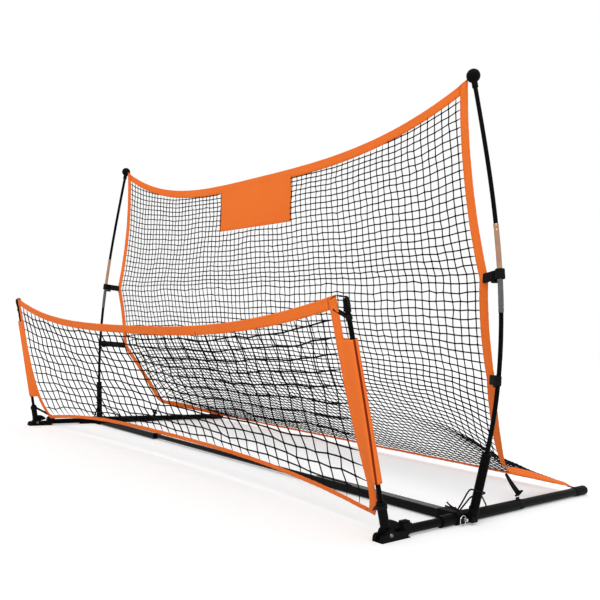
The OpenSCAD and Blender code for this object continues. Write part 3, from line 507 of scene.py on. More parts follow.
# ---- Finishes ----
# name: (kind, dark colour, light colour, roughness, specular, bump, sizes). The sizes are those of stains and
# grain on paint and metal. On cloth they are the thread's pitch and how far it is ribbed.
FINISHES = {
    "satin_tube": ("paint", (0.0018, 0.0018, 0.002), (0.0046, 0.0046, 0.005), 0.36, 0.025, 0.08, (7, 700)),
    "gloss_tube": ("paint", (0.0018, 0.0018, 0.002), (0.0042, 0.0042, 0.0046), 0.13, 0.08, 0.05, (7, 420)),
    "glass_rod": ("paint", (0.0018, 0.0018, 0.002), (0.0046, 0.0046, 0.005), 0.38, 0.025, 0.08, (20, 1100)),
    "moulded": ("paint", (0.0024, 0.0024, 0.0026), (0.006, 0.006, 0.0064), 0.55, 0.035, 0.28, (14, 1500)),
    "plated": ("metal", (0.50, 0.51, 0.53), (0.74, 0.75, 0.78), 0.20, 0.5, 0.04, (40, 900)),
    "bolt_metal": ("metal", (0.10, 0.10, 0.11), (0.20, 0.20, 0.21), 0.34, 0.5, 0.06, (40, 900)),
    "drawn_metal": ("metal", (0.085, 0.082, 0.080), (0.17, 0.165, 0.16), 0.24, 0.5, 0.06, (30, 800)),
    "copper_metal": ("metal", (0.34, 0.195, 0.120), (0.52, 0.32, 0.21), 0.24, 0.5, 0.06, (30, 800)),
    # Painted shade: a dark red that stands in for the shade falling in the groove down each pole sleeve.
    "painted_groove_shade": ("cloth", (0.20, 0.020, 0.006), (0.29, 0.030, 0.009), 0.85, 0.04, 0.3, (0.001, 0)),
    "twine": ("cloth", (0.002, 0.002, 0.0022), (0.006, 0.006, 0.0065), 0.80, 0.06, 0.5, (0.0016, 0)),
    "orange_weave": ("cloth", (0.84, 0.160, 0.022), (0.97, 0.212, 0.032), 0.78, 0.12, 0.35, (0.001, 0)),
    "black_web": ("cloth", (0.003, 0.003, 0.0032), (0.01, 0.01, 0.0105), 0.75, 0.08, 0.7, (0.0014, 0.7)),
    "cord_braid": ("cloth", (0.003, 0.003, 0.0032), (0.01, 0.01, 0.0105), 0.72, 0.08, 0.7, (0.0009, 0)),
    "orange_thread": ("cloth", (0.66, 0.115, 0.016), (0.82, 0.160, 0.023), 0.6, 0.20, 0.2, (0.0006, 0)),
    "black_thread": ("cloth", (0.005, 0.005, 0.0055), (0.015, 0.015, 0.016), 0.6, 0.10, 0.2, (0.0006, 0)),
}


def finish_named(name):
    """The finish's material, made once from its row of values."""
    if name in bpy.data.materials:
        return bpy.data.materials[name]
    kind, dark, light, rough, specular, bump, sizes = FINISHES[name]
    mat, tree, shader = new_material(name)
    put(shader, {"Metallic": float(kind == "metal"), "Specular IOR Level": specular})
    where = add_node(tree, "TexCoord", -1400, 0)
    marks = add_node(tree, "Group", -1100, 200)
    marks.node_tree = grime_group()
    link(where.outputs["Object"], marks.inputs["Vector"])
    colour = add_node(tree, "Mix", -500, 300, data_type="RGBA")
    put(colour, {6: dark + (1.0,), 7: light + (1.0,)})
    relief = add_node(tree, "Bump", -300, -300)
    if kind == "cloth":
        put(marks, {"Stain size": 5.0, "Grain size": 1600.0})
        weave = add_node(tree, "Group", -1100, -200)
        weave.node_tree = weave_group()
        put(weave, {"Thread pitch": sizes[0], "Rib": sizes[1]})
        link(where.outputs["UV"], weave.inputs["Vector"])
        height, reach = weave.outputs["Height"], 0.0003
        # The cloth's colour follows its stains times the weave's painted shade in the dips between threads.
        tone = number(tree, "MULTIPLY", marks.outputs["Tone"], weave.outputs["Shade"], -800, 300)
        link(number(tree, "ADD", tone, 0.05, -650, 300), colour.inputs[0])
        rough_base = number(tree, "MULTIPLY_ADD", marks.outputs["Grain"], 0.12, -650, -50, c=rough - 0.06)
    else:
        put(marks, {"Stain size": sizes[0], "Grain size": sizes[1]})
        height, reach = marks.outputs["Grain"], 0.0002
        worn = number(tree, "MULTIPLY_ADD", marks.outputs["Scuff"], 0.6, -800, 300, c=marks.outputs["Tone"])
        link(worn, colour.inputs[0])
        rough_base = number(tree, "MULTIPLY_ADD", marks.outputs["Tone"], 0.16, -650, -50, c=rough - 0.08)
    put(relief, {"Strength": bump, "Distance": reach})
    link(height, relief.inputs["Height"])
    link(relief.outputs[0], shader.inputs["Normal"])
    link(colour.outputs[2], shader.inputs["Base Color"])
    link(rough_base, shader.inputs["Roughness"])
    return mat


# ---- Settings ----
def amount(label, text, value, **kind):
    """A setting that takes any number."""
    return bpy.props.FloatProperty(name=label, description=text, default=value, **kind)


def whole(label, text, value):
    """A setting that takes whole numbers."""
    return bpy.props.IntProperty(name=label, description=text, default=value)


class NetSettings(bpy.types.PropertyGroup):
    """Sizes of both nets' twine and mesh"""
    rebound_twine: amount("Tall net twine", "Diameter of the tall net's twine", 0.0039, unit="LENGTH")
    volley_twine: amount("Low net twine", "Diameter of the low net's twine", 0.0044, unit="LENGTH")
    rebound_columns: whole("Tall net columns", "Cells across the tall net", 75)
    rebound_rows: whole("Tall net rows", "Cells down the tall net", 62)
    volley_columns: whole("Low net columns", "Cells across the low net", 42)
    volley_rows: whole("Low net rows", "Cells down the low net", 13)


class TapeSettings(bpy.types.PropertyGroup):
    """Sizes of the orange tape"""
    thickness: amount("Tape thickness", "Thickness of folded tape", 0.003, unit="LENGTH")
    ripple: amount("Ripple", "How far the tape waves off its surface", 0.0004, unit="LENGTH")


class StageSettings(bpy.types.PropertyGroup):
    """Light and floor"""
    ambient: amount("Ambient light", "Strength of the even light round the object", 0.72)
    sun: amount("Key light", "Strength of the soft key light", 1.25)
    glow: amount("Floor glow", "Light that the floor adds of its own towards the camera", 0.25)
    floor_colour: bpy.props.FloatVectorProperty(
        name="Floor", description="Colour of the floor", default=(0.82, 0.82, 0.82), subtype="COLOR")


# ---- Stage ----
CAMERA_AT = (2.0303, -1.5931 - MIDDLE_Y, 0.4285 + RAIL_Z)
CAMERA_TURN = 0.81984668
CAMERA_PITCH = -0.06239656
CAMERA_ROLL = 0.06460426
CAMERA_LENS = 41.02
KEY_TURN = tuple(math.radians(angle) for angle in (38, 8, 20))
KEY_SPREAD = math.radians(35)
FLOOR_HALF = 60.0


def seen_ray(tree, x, y):
    """One where the ray comes from the camera, a mirror or glass, and nought elsewhere."""
    path = add_node(tree, "LightPath", x - 300, y)
    first = number(tree, "MAXIMUM", path.outputs["Is Camera Ray"], path.outputs["Is Glossy Ray"], x - 150, y)
    return number(tree, "MAXIMUM", first, path.outputs["Is Transmission Ray"], x, y)


class REBOUNDER_OT_stage(bpy.types.Operator):
    """Camera, floor and soft studio light"""
    bl_idname = "rebounder.stage"
    bl_label = "Stage"

    def execute(self, context):
        settings = context.scene.rebounder_stage
        scene = context.scene
        scene.view_settings.view_transform = "Standard"
        a, e, r = CAMERA_TURN, CAMERA_PITCH, CAMERA_ROLL
        forward = np.array([-math.sin(a) * math.cos(e), math.cos(a) * math.cos(e), -math.sin(e)])
        right = np.array([math.cos(a), math.sin(a), 0.0])
        up = np.cross(right, forward)
        right, up = math.cos(r) * right + math.sin(r) * up, -math.sin(r) * right + math.cos(r) * up
        turn = np.eye(4)
        turn[:3, 0], turn[:3, 1], turn[:3, 2], turn[:3, 3] = right, up, -forward, CAMERA_AT
        data = bpy.data.cameras.new("camera")
        data.sensor_fit = "HORIZONTAL"
        data.sensor_width = 36.0
        data.lens = CAMERA_LENS
        data.clip_end = 200.0
        scene.camera = add_object(data)
        scene.camera.matrix_world = Matrix(turn.tolist())
        world = bpy.data.worlds.new("studio")
        scene.world = world
        world.use_nodes = True
        tree = world.node_tree
        tree.nodes.clear()
        both = add_node(tree, "MixShader", 300, 100)
        out = add_node(tree, "OutputWorld", 500, 100)
        link(seen_ray(tree, -100, 400), both.inputs[0])
        for place, strength in ((1, settings.ambient), (2, 1.0)):
            white = add_node(tree, "Background", 0, 400 - 200 * place)
            put(white, {"Color": (1.0, 1.0, 1.0, 1.0), "Strength": strength})
            link(white.outputs[0], both.inputs[place])
        link(both.outputs[0], out.inputs[0])
        light = bpy.data.lights.new("key", "SUN")
        light.energy = settings.sun
        light.angle = KEY_SPREAD
        add_object(light).rotation_euler = KEY_TURN
        mesh = bpy.data.meshes.new("floor")
        corners = [(FLOOR_HALF * x, FLOOR_HALF * y, 0) for x, y in ((-1, -1), (1, -1), (1, 1), (-1, 1))]
        mesh.from_pydata(corners, [], [(0, 1, 2, 3)])
        mat, tree, shader = new_material("floor_white")
        colour = (*settings.floor_colour, 1.0)
        put(shader, {"Base Color": colour, "Roughness": 0.9, "Specular IOR Level": 0.1})
        glow = add_node(tree, "Emission", 0, -300)
        glowing = number(tree, "MULTIPLY", seen_ray(tree, -400, -300), settings.glow, -200, -300)
        link(glowing, glow.inputs["Strength"])
        total = add_node(tree, "AddShader", 400, 0)
        link(shader.outputs[0], total.inputs[0])
        link(glow.outputs[0], total.inputs[1])
        link(total.outputs[0], tree.nodes["Material Output"].inputs["Surface"])
        mesh.materials.append(mat)
        floor = add_object(mesh)
        return {"FINISHED"}


# ---- Hard parts ----
# finish: nodes, where a star stands for left and right
HARD_NODES = {
    "satin_tube": "front_rail_* middle_rail_* rear_rail_* bow_socket_*",
    "gloss_tube": "crossbar_center crossbar_arm_*",
    "glass_rod": "volley_pole_*",
    "moulded": "rear_caps rail_bushes corner_joint_* arm_plugs hinge_block_* socket_bushes bow_tips "
               "strap_sliders strap_buckles hinge_knuckle_* pole_caps latch_button_*",
    "bolt_metal": "hinge_bolts hinge_nuts",
    "plated": "snap_button_* lock_pin_* pin_ring_*",
}


class REBOUNDER_OT_hard_parts(bpy.types.Operator):
    """Paint, moulded and plated finishes of the tubes, joints, hinges and locks"""
    bl_idname = "rebounder.hard_parts"
    bl_label = "Hard parts"

    def execute(self, context):
        for finish, names in HARD_NODES.items():
            for name in names.split():
                for side in ("left", "right") if "*" in name else ("",):
                    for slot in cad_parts[name.replace("*", side)].material_slots:
                        slot.material = finish_named(finish)
        return {"FINISHED"}


class REBOUNDER_OT_bows(bpy.types.Operator):
    """Smooth bow rods and their metal sleeves"""
    bl_idname = "rebounder.bows"
    bl_label = "Bows"

    def execute(self, context):
        joint = (SLEEVE_LOW + SLEEVE_HIGH) / 2
        foot = SOCKET_TOP - ROD_DEPTH * math.cos(BOW_LEAN)
        spans = {"lower_bow": (foot, joint - ROD_GAP), "upper_bow": (joint + ROD_GAP, TIP_HEIGHT)}
        for label, (low, high) in spans.items():
            part = tubes(bow_points(np.linspace(low, high, 48))[None], BOW_R, 24, ALONG)
            for side, half in (("right", part), ("left", mirrored(part))):
                make_piece(f"{label}_{side}", "rod", [(half, 0)], ["glass_rod"])
        spans = ((SLEEVE_LOW, STRAP_HEIGHTS[0] - ROD_GAP), (STRAP_HEIGHTS[0] + ROD_GAP, SLEEVE_HIGH))
        steps, parts = np.array([0, 0.001, 0.012, 0.0135, 0.015, 0.0165]), []
        for index, (low, high) in enumerate(spans):
            between = np.linspace(low + 0.022, high - 0.022, 8)
            heights = np.concatenate([low + steps, between, high - steps[::-1]])
            swell = np.full(len(heights), SLEEVE_WALL)
            swell[[0, -1]] = 0.0006
            swell[[[3, 4], [-4, -5]][index]] = 0.0005
            parts.append((tubes(bow_points(heights)[None], (BOW_R + swell)[None], 28, ALONG), index))
        finishes = ["drawn_metal", "copper_metal"]
        make_piece("bow_sleeves", "metal", both_sides(parts), finishes)
        return {"FINISHED"}


# ---- Nets ----
def net_parts(surface, us, vs, twine, open_mesh, seed, slack=np.ones_like):
    """A knotted net on a surface: tubes along every row and column of crossing points, and a knot at each one
    that open_mesh leaves free of tape. The crossings wander by slow sines and a little seeded noise. The twine
    is thin under the tape, and slack gives the share of its thickness that it keeps at each place."""
    rng = np.random.default_rng(seed)
    u, v = np.meshgrid(us, vs, indexing="ij")
    free = open_mesh(u, v)
    inside = np.clip(np.minimum(1 - np.abs(u), np.minimum(v, 1 - v)) * 12, 0, 1) * free
    du, dv = us[1] - us[0], vs[1] - vs[0]
    u = u + inside * du * (0.12 * np.sin(v * 23 + u * 5) + 0.04 * rng.standard_normal(u.shape))
    v = v + inside * dv * (0.12 * np.sin(u * 19 - v * 7) + 0.05 * rng.standard_normal(v.shape))
    points, up = surface(u, v), normals(surface, u, v)
    points = points + up * (inside * 0.0012 * np.sin(u * 41 + v * 53))[..., None]
    thin = np.where(free, twine / 2, 0.0006) * slack(v)
    columns = tubes(points, thin, 4, vec(1, 0.02, 0.03))
    rows = tubes(points.transpose(1, 0, 2), thin.T, 4, vec(0.02, 1, 0.03))
    along = unit(np.gradient(points, axis=0))
    axes = np.stack([along, np.cross(up, along), up], -1)
    shape, faces = knot_shape()
    knots = scatter(shape, faces, points[free], axes[free], (twine * 1.05, twine * 0.85, twine * 0.75))
    return [(columns, 0), (rows, 0), (knots, 0)]


class REBOUNDER_OT_rebound_net(bpy.types.Operator):
    """The tall knotted net"""
    bl_idname = "rebounder.rebound_net"
    bl_label = "Tall net"

    def execute(self, context):
        s = context.scene.rebounder_net
        us = np.linspace(-0.984, 0.984, s.rebound_columns + 1)
        # The first row lies just inside the top hem, and the last one inside the rear hem.
        vs = np.linspace(REBOUND_V * 0.96, 1 - REBOUND_V * 0.5, s.rebound_rows + 1)

        def open_mesh(u, v):
            """Where the tall net is free of its hems, side bands and target patch."""
            top, rear = rebound_hems(u)
            on_patch = (np.abs(u) < PATCH_U) & (v < PATCH_V)
            return (v > top) & (v < rear) & (np.abs(u) < 1 - BAND_W / RAIL_X) & ~on_patch

        def stretched(v):
            """The twine is drawn a little thinner behind the fold."""
            return np.interp(v, [0.62, 0.78], [1.0, 0.8])

        parts = net_parts(rebound_surface, us, vs, s.rebound_twine, open_mesh, 11, stretched)
        make_piece("rebound_net", "twine", parts, ["twine"])
        return {"FINISHED"}


class REBOUNDER_OT_volley_net(bpy.types.Operator):
    """The low knotted net between the poles"""
    bl_idname = "rebounder.volley_net"
    bl_label = "Low net"

    def execute(self, context):
        s = context.scene.rebounder_net
        edge = 1 - HEM_W / VOLLEY_TOP[0] * 0.5
        us = np.linspace(-edge, edge, s.volley_columns + 1)
        vs = np.linspace(0.030, 0.981, s.volley_rows + 1)

        def open_mesh(u, v):
            """Where the low net is free of its hems and side bands."""
            top, bottom = volley_hems(u)
            return (v > top) & (v < bottom) & (np.abs(u) < 2 * edge - 1)

        parts = net_parts(volley_surface, us, vs, s.volley_twine, open_mesh, 12)
        make_piece("volley_net", "twine", parts, ["twine"], "volley_frame")
        return {"FINISHED"}


# ---- Orange tape ----
def tape_piece(context, surface, node, us, vs, seed, body="root", sides=1):
    """Orange tape on a surface, with a row of stitches near each long edge, as one piece. The run along it is
    an array, and its two borders are numbers or arrays of that length. A slow ripple stands off the surface:
    three sines whose phases come from the seed. Two sides are mirrored."""
    settings = context.scene.rebounder_tape
    along_u = isinstance(us, np.ndarray)
    along = us if along_u else vs
    first, last = [np.broadcast_to(border, along.shape)[:, None] for border in (vs if along_u else us)]
    grid_c = mix(first, last, spaced(9)[None])
    grid_a = np.broadcast_to(along[:, None], grid_c.shape)
    u, v = (grid_a, grid_c) if along_u else (grid_c, grid_a)
    points, up = surface(u, v), normals(surface, u, v)
    run = travelled(points[:, 4])
    length = float(run[-1])
    rng = np.random.default_rng(seed)
    wave = sum(np.sin(run / (RIPPLE_PITCH * f) * 2 * np.pi + rng.uniform(0, 6.28)) / f**0.3
               for f in RIPPLE_STEPS)
    points = points + up * (settings.ripple * wave[:, None, None])
    width = float(np.linalg.norm(points[:, -1] - points[:, 0], axis=-1).mean())
    parts = [(strip(points, up, settings.thickness, length, width), 0)]
    for place in (0.14, 0.86):
        parts += seam(points, up, settings.thickness, place)
    if sides == 2:
        parts = both_sides(parts)
    piece = make_piece(node, "tape", parts, ORANGE, body)


class REBOUNDER_OT_rebound_tape(bpy.types.Operator):
    """Orange hems and side bands of the tall net"""
    bl_idname = "rebounder.rebound_tape"
    bl_label = "Tall net tape"

    def execute(self, context):
        end = 1 - 0.90 * BAND_W / RAIL_X
        us = np.linspace(-end, end, 240)
        top, rear = rebound_hems(us)
        tape_piece(context, rebound_surface, "rebound_top_hem", us, (HEM_START, top), 21)
        tape_piece(context, rebound_surface, "rebound_rear_hem", us, (rear, 1.0), 22)
        # The side bands' cloth is gathered at the fold, and skips its sharp corner.
        bend = STATION_SUMS[3] / NET_RUN
        vs = np.concatenate([np.linspace(0, bend - 0.012, 110), np.linspace(bend + 0.012, 1, 44)])
        inner = 1 - (0.0285 - 0.009 * bell(vs, bend, 0.045)) / RAIL_X
        tape_piece(context, rebound_surface, "rebound_side_bands", (inner, 1.0), vs, 23, sides=2)
        return {"FINISHED"}


class REBOUNDER_OT_volley_tape(bpy.types.Operator):
    """Orange hems and side bands of the low net"""
    bl_idname = "rebounder.volley_tape"
    bl_label = "Low net tape"

    def execute(self, context):
        side = HEM_W / VOLLEY_TOP[0]
        us = np.linspace(side - 1, 1 - side, 220)
        top, bottom = volley_hems(us)
        tapes = {"volley_top_hem": (us, (0.0, top), 1), "volley_bottom_hem": (us, (bottom, 1.0), 1),
                 "volley_side_bands": ((1 - side, 1.0), even(70), 2)}
        for seed, (node, (across, down, sides)) in enumerate(tapes.items(), 31):
            tape_piece(context, volley_surface, node, across, down, seed, "volley_frame", sides)
        return {"FINISHED"}


class REBOUNDER_OT_target_patch(bpy.types.Operator):
    """The plain orange target patch with its sewn border"""
    bl_idname = "rebounder.target_patch"
    bl_label = "Target patch"

    def execute(self, context):
        us, vs = mix(-PATCH_U, PATCH_U, even(61)), mix(PATCH_TOP, PATCH_V, spaced(25))
        u, v = np.meshgrid(us, vs, indexing="ij")
        points, up = rebound_surface(u, v), normals(rebound_surface, u, v)
        puff = np.sin((u / PATCH_U) * 9 + v * 40) * np.sin((v - PATCH_TOP) / (PATCH_V - PATCH_TOP) * np.pi)
        points = points + up * (0.0004 * puff)[..., None]
        parts = [(strip(points, up, PATCH_T, PATCH_W, PATCH_H, edge=24.0), 0)]
        turned = points.transpose(1, 0, 2)[2:-2], up.transpose(1, 0, 2)[2:-2]
        for level, column in ((0.04, 0.016), (0.96, 0.984)):
            parts += seam(points, up, PATCH_T, level) + seam(*turned, PATCH_T, column, steps=even)
        piece = make_piece("target_patch", "cloth", parts, ORANGE)
        return {"FINISHED"}


# ---- Webbing ----
def webbing(path, wide, width=WEB_W, thick=WEB_T, rows=True):
    """A flat strap carried along a path: its width lies along the given direction, and its faces stand off
    along the cross product of the path and that direction."""
    wide = unit(np.broadcast_to(wide, path.shape))
    widths = np.broadcast_to(width, len(path))[:, None]
    across = (spaced(7) - 0.5)[None] * widths
    middle = path[:, None] + wide[:, None] * across[..., None]
    tangent = unit(np.gradient(path, axis=0))
    up = np.broadcast_to(unit(np.cross(tangent, wide))[:, None], middle.shape)
    length = np.linalg.norm(np.diff(path, axis=0), axis=-1).sum()
    parts = [(strip(middle, up, thick, length, widths.mean(), edge=8.0), 0)]
    if rows:
        for place in (0.12, 0.88):
            parts += seam(middle, up, thick, place, length=0.003, gap=0.0045)
    return parts


def webbing_piece(node, parts, body="root"):
    """Black webbing as one piece, on both sides of the object."""
    make_piece(node, "webbing", both_sides(parts), BLACK, body)


def ring_path(centre, normal, radius):
    """Points of a circle round a normal, nearly closed, as a path."""
    normal = unit(normal)
    a = unit(np.cross(normal, vec(0.3, 0.1, 1)))
    b = np.cross(normal, a)
    angle = np.linspace(0, 2 * math.pi * 0.995, 36)
    return centre + radius * (np.cos(angle)[:, None] * a + np.sin(angle)[:, None] * b)


def rail_band(y, width=WEB_W):
    """A band of webbing round the side rail, at a place along it."""
    ring = ring_path(vec(RAIL_X, y, RAIL_Z), ALONG, RAIL_BAND_R + WEB_T / 2 - 0.0001)
    return webbing(ring, ALONG, width=width, thick=WEB_T * 0.94)


def strap_loop_path(height, station):
    """One strap as a single path: out from the side band, round the bow and back. In the plane of the strap
    it is a straight line, an arc of the bow's radius plus a gap, and a second straight line."""
    start = EDGE_STATIONS[station] + vec(-BAND_W / 2, 0, RAIL_Z)
    bow = bow_points([height])[0]
    flat = vec(bow[0] - start[0], bow[1] - start[1], 0)
    reach = float(np.linalg.norm(flat))
    out = flat / reach
    side = vec(-out[1], out[0], 0)
    on_sleeve = SLEEVE_LOW - WEB_W < height < SLEEVE_HIGH + WEB_W
    radius = BOW_R + (SLEEVE_WALL if on_sleeve else 0.0) + CLOTH_GAP + WEB_T / 2
    apart = 0.0015 + WEB_T / 2 + CLOTH_GAP / 2
    opening = math.asin(apart / radius)
    arc = np.linspace(math.pi - opening, -(math.pi - opening), 33)
    line = np.linspace(0, reach - radius * math.cos(opening), 15)[:-1]
    beside = np.full(len(line), apart)
    xs = np.concatenate([line, reach + radius * np.cos(arc), line[::-1]])
    ys = np.concatenate([beside, radius * np.sin(arc), -beside])
    rise = (bow[2] - start[2]) * np.clip(xs / reach, 0, 1)
    return start + xs[:, None] * out + ys[:, None] * side + rise[:, None] * UP


class REBOUNDER_OT_bow_straps(bpy.types.Operator):
    """Webbing straps between the tall net and the bows"""
    bl_idname = "rebounder.bow_straps"
    bl_label = "Bow straps"

    def execute(self, context):
        for station, (node, height) in enumerate(zip(("upper_straps", "lower_straps"), STRAP_HEIGHTS), 1):
            parts = webbing(strap_loop_path(height, station), UP)
            if station == 1:
                ends = bow_points([height - 0.01, height + 0.01])
                turn = ring_path(ends.mean(0) + 0.001 * ALONG, ends[1] - ends[0], 0.0118)
                parts += webbing(turn, unit(ends[1] - ends[0]), width=0.027)
            webbing_piece(node, parts)
        return {"FINISHED"}


class REBOUNDER_OT_tie_downs(bpy.types.Operator):
    """Hold-down straps, anchor bands and rear ties"""
    bl_idname = "rebounder.tie_downs"
    bl_label = "Tie downs"

    def execute(self, context):
        high = vec(FOLD[0] - 0.004, FOLD[1], RAIL_Z + FOLD[2] - 0.003)
        low = vec(RAIL_X - 0.0055, FOLD[1] + 0.003, RAIL_Z + 0.013 + 0.019)
        t = even(24)[:, None]
        path = mix(high, low, t) + vec(-0.0012, 0, -0.0008) * np.sin(t * math.pi)
        wide = vec(0.41, 0.81, 0.41)
        webbing_piece("hold_down_straps", webbing(path, wide, width=mix(0.007, 0.017, t[:, 0] ** 0.6)))
        y_anchor = 0.270 + WEB_W / 2
        tab = vec(RAIL_X - 0.0045, y_anchor, RAIL_Z + 0.0131) + 0.0074 * even(8)[:, None] * UP
        parts = rail_band(y_anchor) + webbing(tab, ALONG, width=WEB_W - 0.008, thick=0.0044, rows=False)
        webbing_piece("anchor_bands", parts)
        y_tie = 0.641
        corner = EDGE_STATIONS[4] + vec(-BAND_W / 2, -HEM_W / 2, RAIL_Z + 0.0015 + WEB_T / 2)
        end = vec(RAIL_X - 0.001, y_tie, RAIL_Z + RAIL_BAND_R + WEB_T / 2)
        webbing_piece("rear_ties", rail_band(y_tie, 0.014) + webbing(mix(corner, end, t), ALONG, width=0.012))
        return {"FINISHED"}


CORD_R = 0.0021
CORD_ROUTE = vec(
    [2, -37, 36], [7, -31, 49], [13, -24.5, 66], [19, -18.5, 83], [26, -15.4, 92], [39, -15.2, 93],
    [48, -12.6, 92], [55, -3, 90], [54.5, 6, 87], [46, 14.6, 82], [37, 19, 77], [27, 44, 63], [14, 76, 46],
    [6, 98, 31.8],
) / 1000
CORD_SECOND = vec(
    [8, -36, 35], [13, -30, 46], [19, -23.5, 58], [25, -17, 70], [31, -12, 76], [36, -9, 78],
) / 1000
CORD_ENDS = vec(
    [[-4, -38, 40], [-10, -42, 43], [-16, -47, 48], [-21, -51, 54]],
    [[-4, -38, 40], [-9, -46, 42], [-14, -55, 44], [-18, -62, 47]],
    [[-4, -38, 40], [-1, -38, 38], [3, -37, 36], [8, -36, 35]],
) / 1000


def smooth_path(route, steps):
    """A Catmull-Rom curve through a route's points."""
    t = np.linspace(0, 1, steps, endpoint=False)[None, :, None]
    curve = smooth(route, np.arange(len(route) - 1)[:, None], t)
    return np.concatenate([curve.reshape(-1, 3), route[-1:]])


class REBOUNDER_OT_cords(bpy.types.Operator):
    """Retention cords at the bow sockets"""
    bl_idname = "rebounder.cords"
    bl_label = "Retention cords"

    def execute(self, context):
        parts = []
        for route in (CORD_ROUTE, CORD_SECOND, *CORD_ENDS):
            path = smooth_path(route + vec(RAIL_X, 0, 0), 6)
            parts.append((tubes(path[None], CORD_R, 10, vec(0.3, 0, 1)), 0))
        knot = vec([RAIL_X - 0.004, -0.038, 0.040])
        parts.append((scatter(*knot_shape(), knot, np.eye(3)[None], (0.0062, 0.0050, 0.0046)), 0))
        make_piece("retention_cords", "braid", both_sides(parts), ["cord_braid"])
        return {"FINISHED"}


# ---- Low net's pole sleeves and ties ----
def sleeve_grid(along, radius, net_gap):
    """Cross sections of a sleeve along the pole, closed like a drop: an arc round the pole and two straight
    plies that meet where the side band is sewn on. A bell shaped groove runs down the arc, where the sleeve's
    edges meet."""
    centre = pole_points(along)
    share = (VOLLEY_TOP[2] - centre[:, 2]) / (VOLLEY_TOP[2] - VOLLEY_LOW[2])
    meet = volley_surface(1 - HEM_W / 2 / VOLLEY_TOP[0], share)
    out = unit(meet - centre)
    reach = np.linalg.norm(meet - centre, axis=-1) - net_gap
    side = unit(np.cross(np.broadcast_to(POLE_DIR, out.shape), out))
    opening = np.arccos(np.clip(radius / reach, 0, 0.98))
    arc = opening[:, None] + (2 * math.pi - 2 * opening)[:, None] * even(65)[None]
    round_ = radius - 0.0018 * bell(arc, GROOVE_ANGLE, 0.26)
    ply, tip = even(9)[None, :-1], 0.0007
    ply_x = mix(reach[:, None], radius * np.cos(opening)[:, None], ply)
    ply_y = mix(tip, radius * np.sin(opening)[:, None], ply)
    xs = np.concatenate([ply_x, round_ * np.cos(arc), ply_x[:, ::-1]], 1)
    ys = np.concatenate([ply_y, round_ * np.sin(arc), -ply_y[:, ::-1]], 1)
    return centre[:, None] + xs[..., None] * out[:, None] + ys[..., None] * side[:, None], arc


class REBOUNDER_OT_pole_sleeves(bpy.types.Operator):
    """Orange sleeves that hold the low net to its poles"""
    bl_idname = "rebounder.pole_sleeves"
    bl_label = "Pole sleeves"

    def execute(self, context):
        along = np.linspace(*POLE_SLEEVE_SPAN, 64)
        outer, arc = sleeve_grid(along, POLE_SLEEVE_R[0], 0.0)
        inner, _ = sleeve_grid(along, POLE_SLEEVE_R[1], 0.001)
        shell = np.concatenate([outer, inner[::-1]], 0)
        points, [(faces, corners)] = skin(shell[None], closed_along=True)
        # The faces along the groove take a dark red painted shade, in place of the shade that falls in it.
        in_shaded_groove = np.zeros(shell.shape[:2], bool)
        in_shaded_groove[:len(along) - 1, 8:-8] = np.abs(arc[:-1] - GROOVE_ANGLE + 0.03) < 0.27
        shaded_groove = in_shaded_groove.ravel()
        parts = [((points, [(faces[own], corners[own])]), index) for index, own in enumerate((~shaded_groove, shaded_groove))]
        piece = make_piece("pole_sleeves", "cloth", both_sides(parts), ["orange_weave", "painted_groove_shade"],
                           "volley_frame")
        return {"FINISHED"}


def pole_tie(at, radius, start, towards, width):
    """A band of webbing round the pole, and a strap that runs to it from a corner of the low net."""
    hold = radius + CLOTH_GAP
    path = mix(start, at - unit(towards) * (hold + 0.001), even(16)[:, None])
    band = webbing(ring_path(at, POLE_DIR, hold + WEB_T / 2), POLE_DIR, width=width)
    return band + webbing(path, UP, width=width)


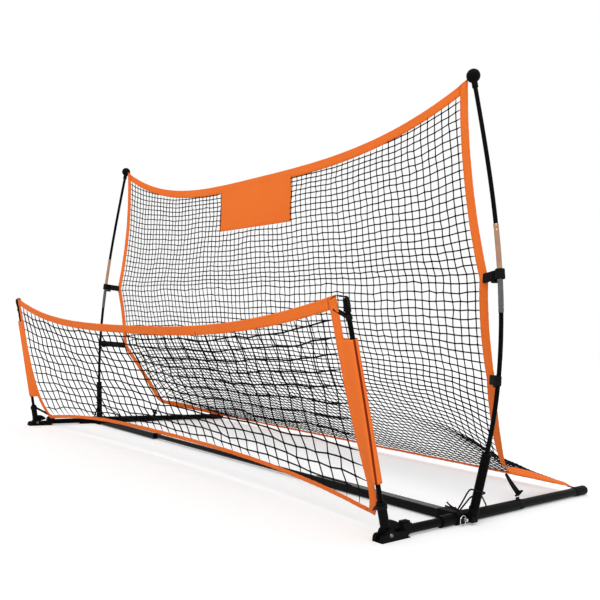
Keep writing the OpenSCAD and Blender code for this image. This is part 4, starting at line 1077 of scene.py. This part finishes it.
class REBOUNDER_OT_corner_ties(bpy.types.Operator):
    """Black pockets and ties at the corners of the low net"""
    bl_idname = "rebounder.corner_ties"
    bl_label = "Corner ties"

    def execute(self, context):
        top_at, low_at, crown = pole_points([POLE_LEN - 0.038, 0.066, POLE_LEN + 0.0088])
        start, towards = VOLLEY_TOP + vec(-0.014, 0.002, -0.030), top_at - VOLLEY_TOP + 0.040 * UP
        parts = pole_tie(top_at, POLE_R, start, towards, 0.012)
        loop = vec(VOLLEY_TOP + [-0.020, 0, -0.012], VOLLEY_TOP + [-0.004, 0, -0.003],
                   crown + [-0.009, 0, 0.0015], crown + [0.001, 0, 0.0008],
                   crown + [0.0076, 0, -0.0055], crown + [0.0098, 0.0045, -0.022])
        parts += webbing(smooth_path(loop, 5), unit(np.cross(POLE_DIR, vec(1, 0, 0))), width=0.011)
        start, towards = VOLLEY_LOW + vec(-0.012, 0, 0.012), (low_at - VOLLEY_LOW) * (1 - UP)
        parts += pole_tie(low_at, KNUCKLE_R, start, towards, 0.010)
        webbing_piece("volley_corner_ties", parts, "volley_frame")
        return {"FINISHED"}


STEPS = (
    REBOUNDER_OT_stage, REBOUNDER_OT_cords, REBOUNDER_OT_hard_parts, REBOUNDER_OT_bows,
    REBOUNDER_OT_rebound_net, REBOUNDER_OT_rebound_tape, REBOUNDER_OT_target_patch,
    REBOUNDER_OT_bow_straps, REBOUNDER_OT_tie_downs, REBOUNDER_OT_volley_net,
    REBOUNDER_OT_volley_tape, REBOUNDER_OT_pole_sleeves, REBOUNDER_OT_corner_ties,
)
SETTINGS = {"rebounder_net": NetSettings, "rebounder_tape": TapeSettings, "rebounder_stage": StageSettings}


class REBOUNDER_PT_panel(bpy.types.Panel):
    """Lists the rebounder's pieces and settings"""
    bl_idname = "REBOUNDER_PT_panel"
    bl_label = "Rebounder"
    bl_space_type = "VIEW_3D"
    bl_region_type = "UI"
    bl_category = "Rebounder"

    def draw(self, context):
        for name, group in SETTINGS.items():
            box = self.layout.box()
            for prop in group.__annotations__:
                box.prop(getattr(context.scene, name), prop)
        for step in STEPS:
            self.layout.operator(step.bl_idname)


def register():
    for cls in (*SETTINGS.values(), *STEPS, REBOUNDER_PT_panel):
        bpy.utils.register_class(cls)
    for name, group in SETTINGS.items():
        setattr(bpy.types.Scene, name, bpy.props.PointerProperty(type=group))


def unregister():
    for name in SETTINGS:
        delattr(bpy.types.Scene, name)
    for cls in reversed((*SETTINGS.values(), *STEPS, REBOUNDER_PT_panel)):
        bpy.utils.unregister_class(cls)


def main():
    """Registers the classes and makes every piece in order."""
    register()
    for step in STEPS:
        group, call = step.bl_idname.split(".")
        getattr(getattr(bpy.ops, group), call)()


if __name__ == "__main__":
    main()
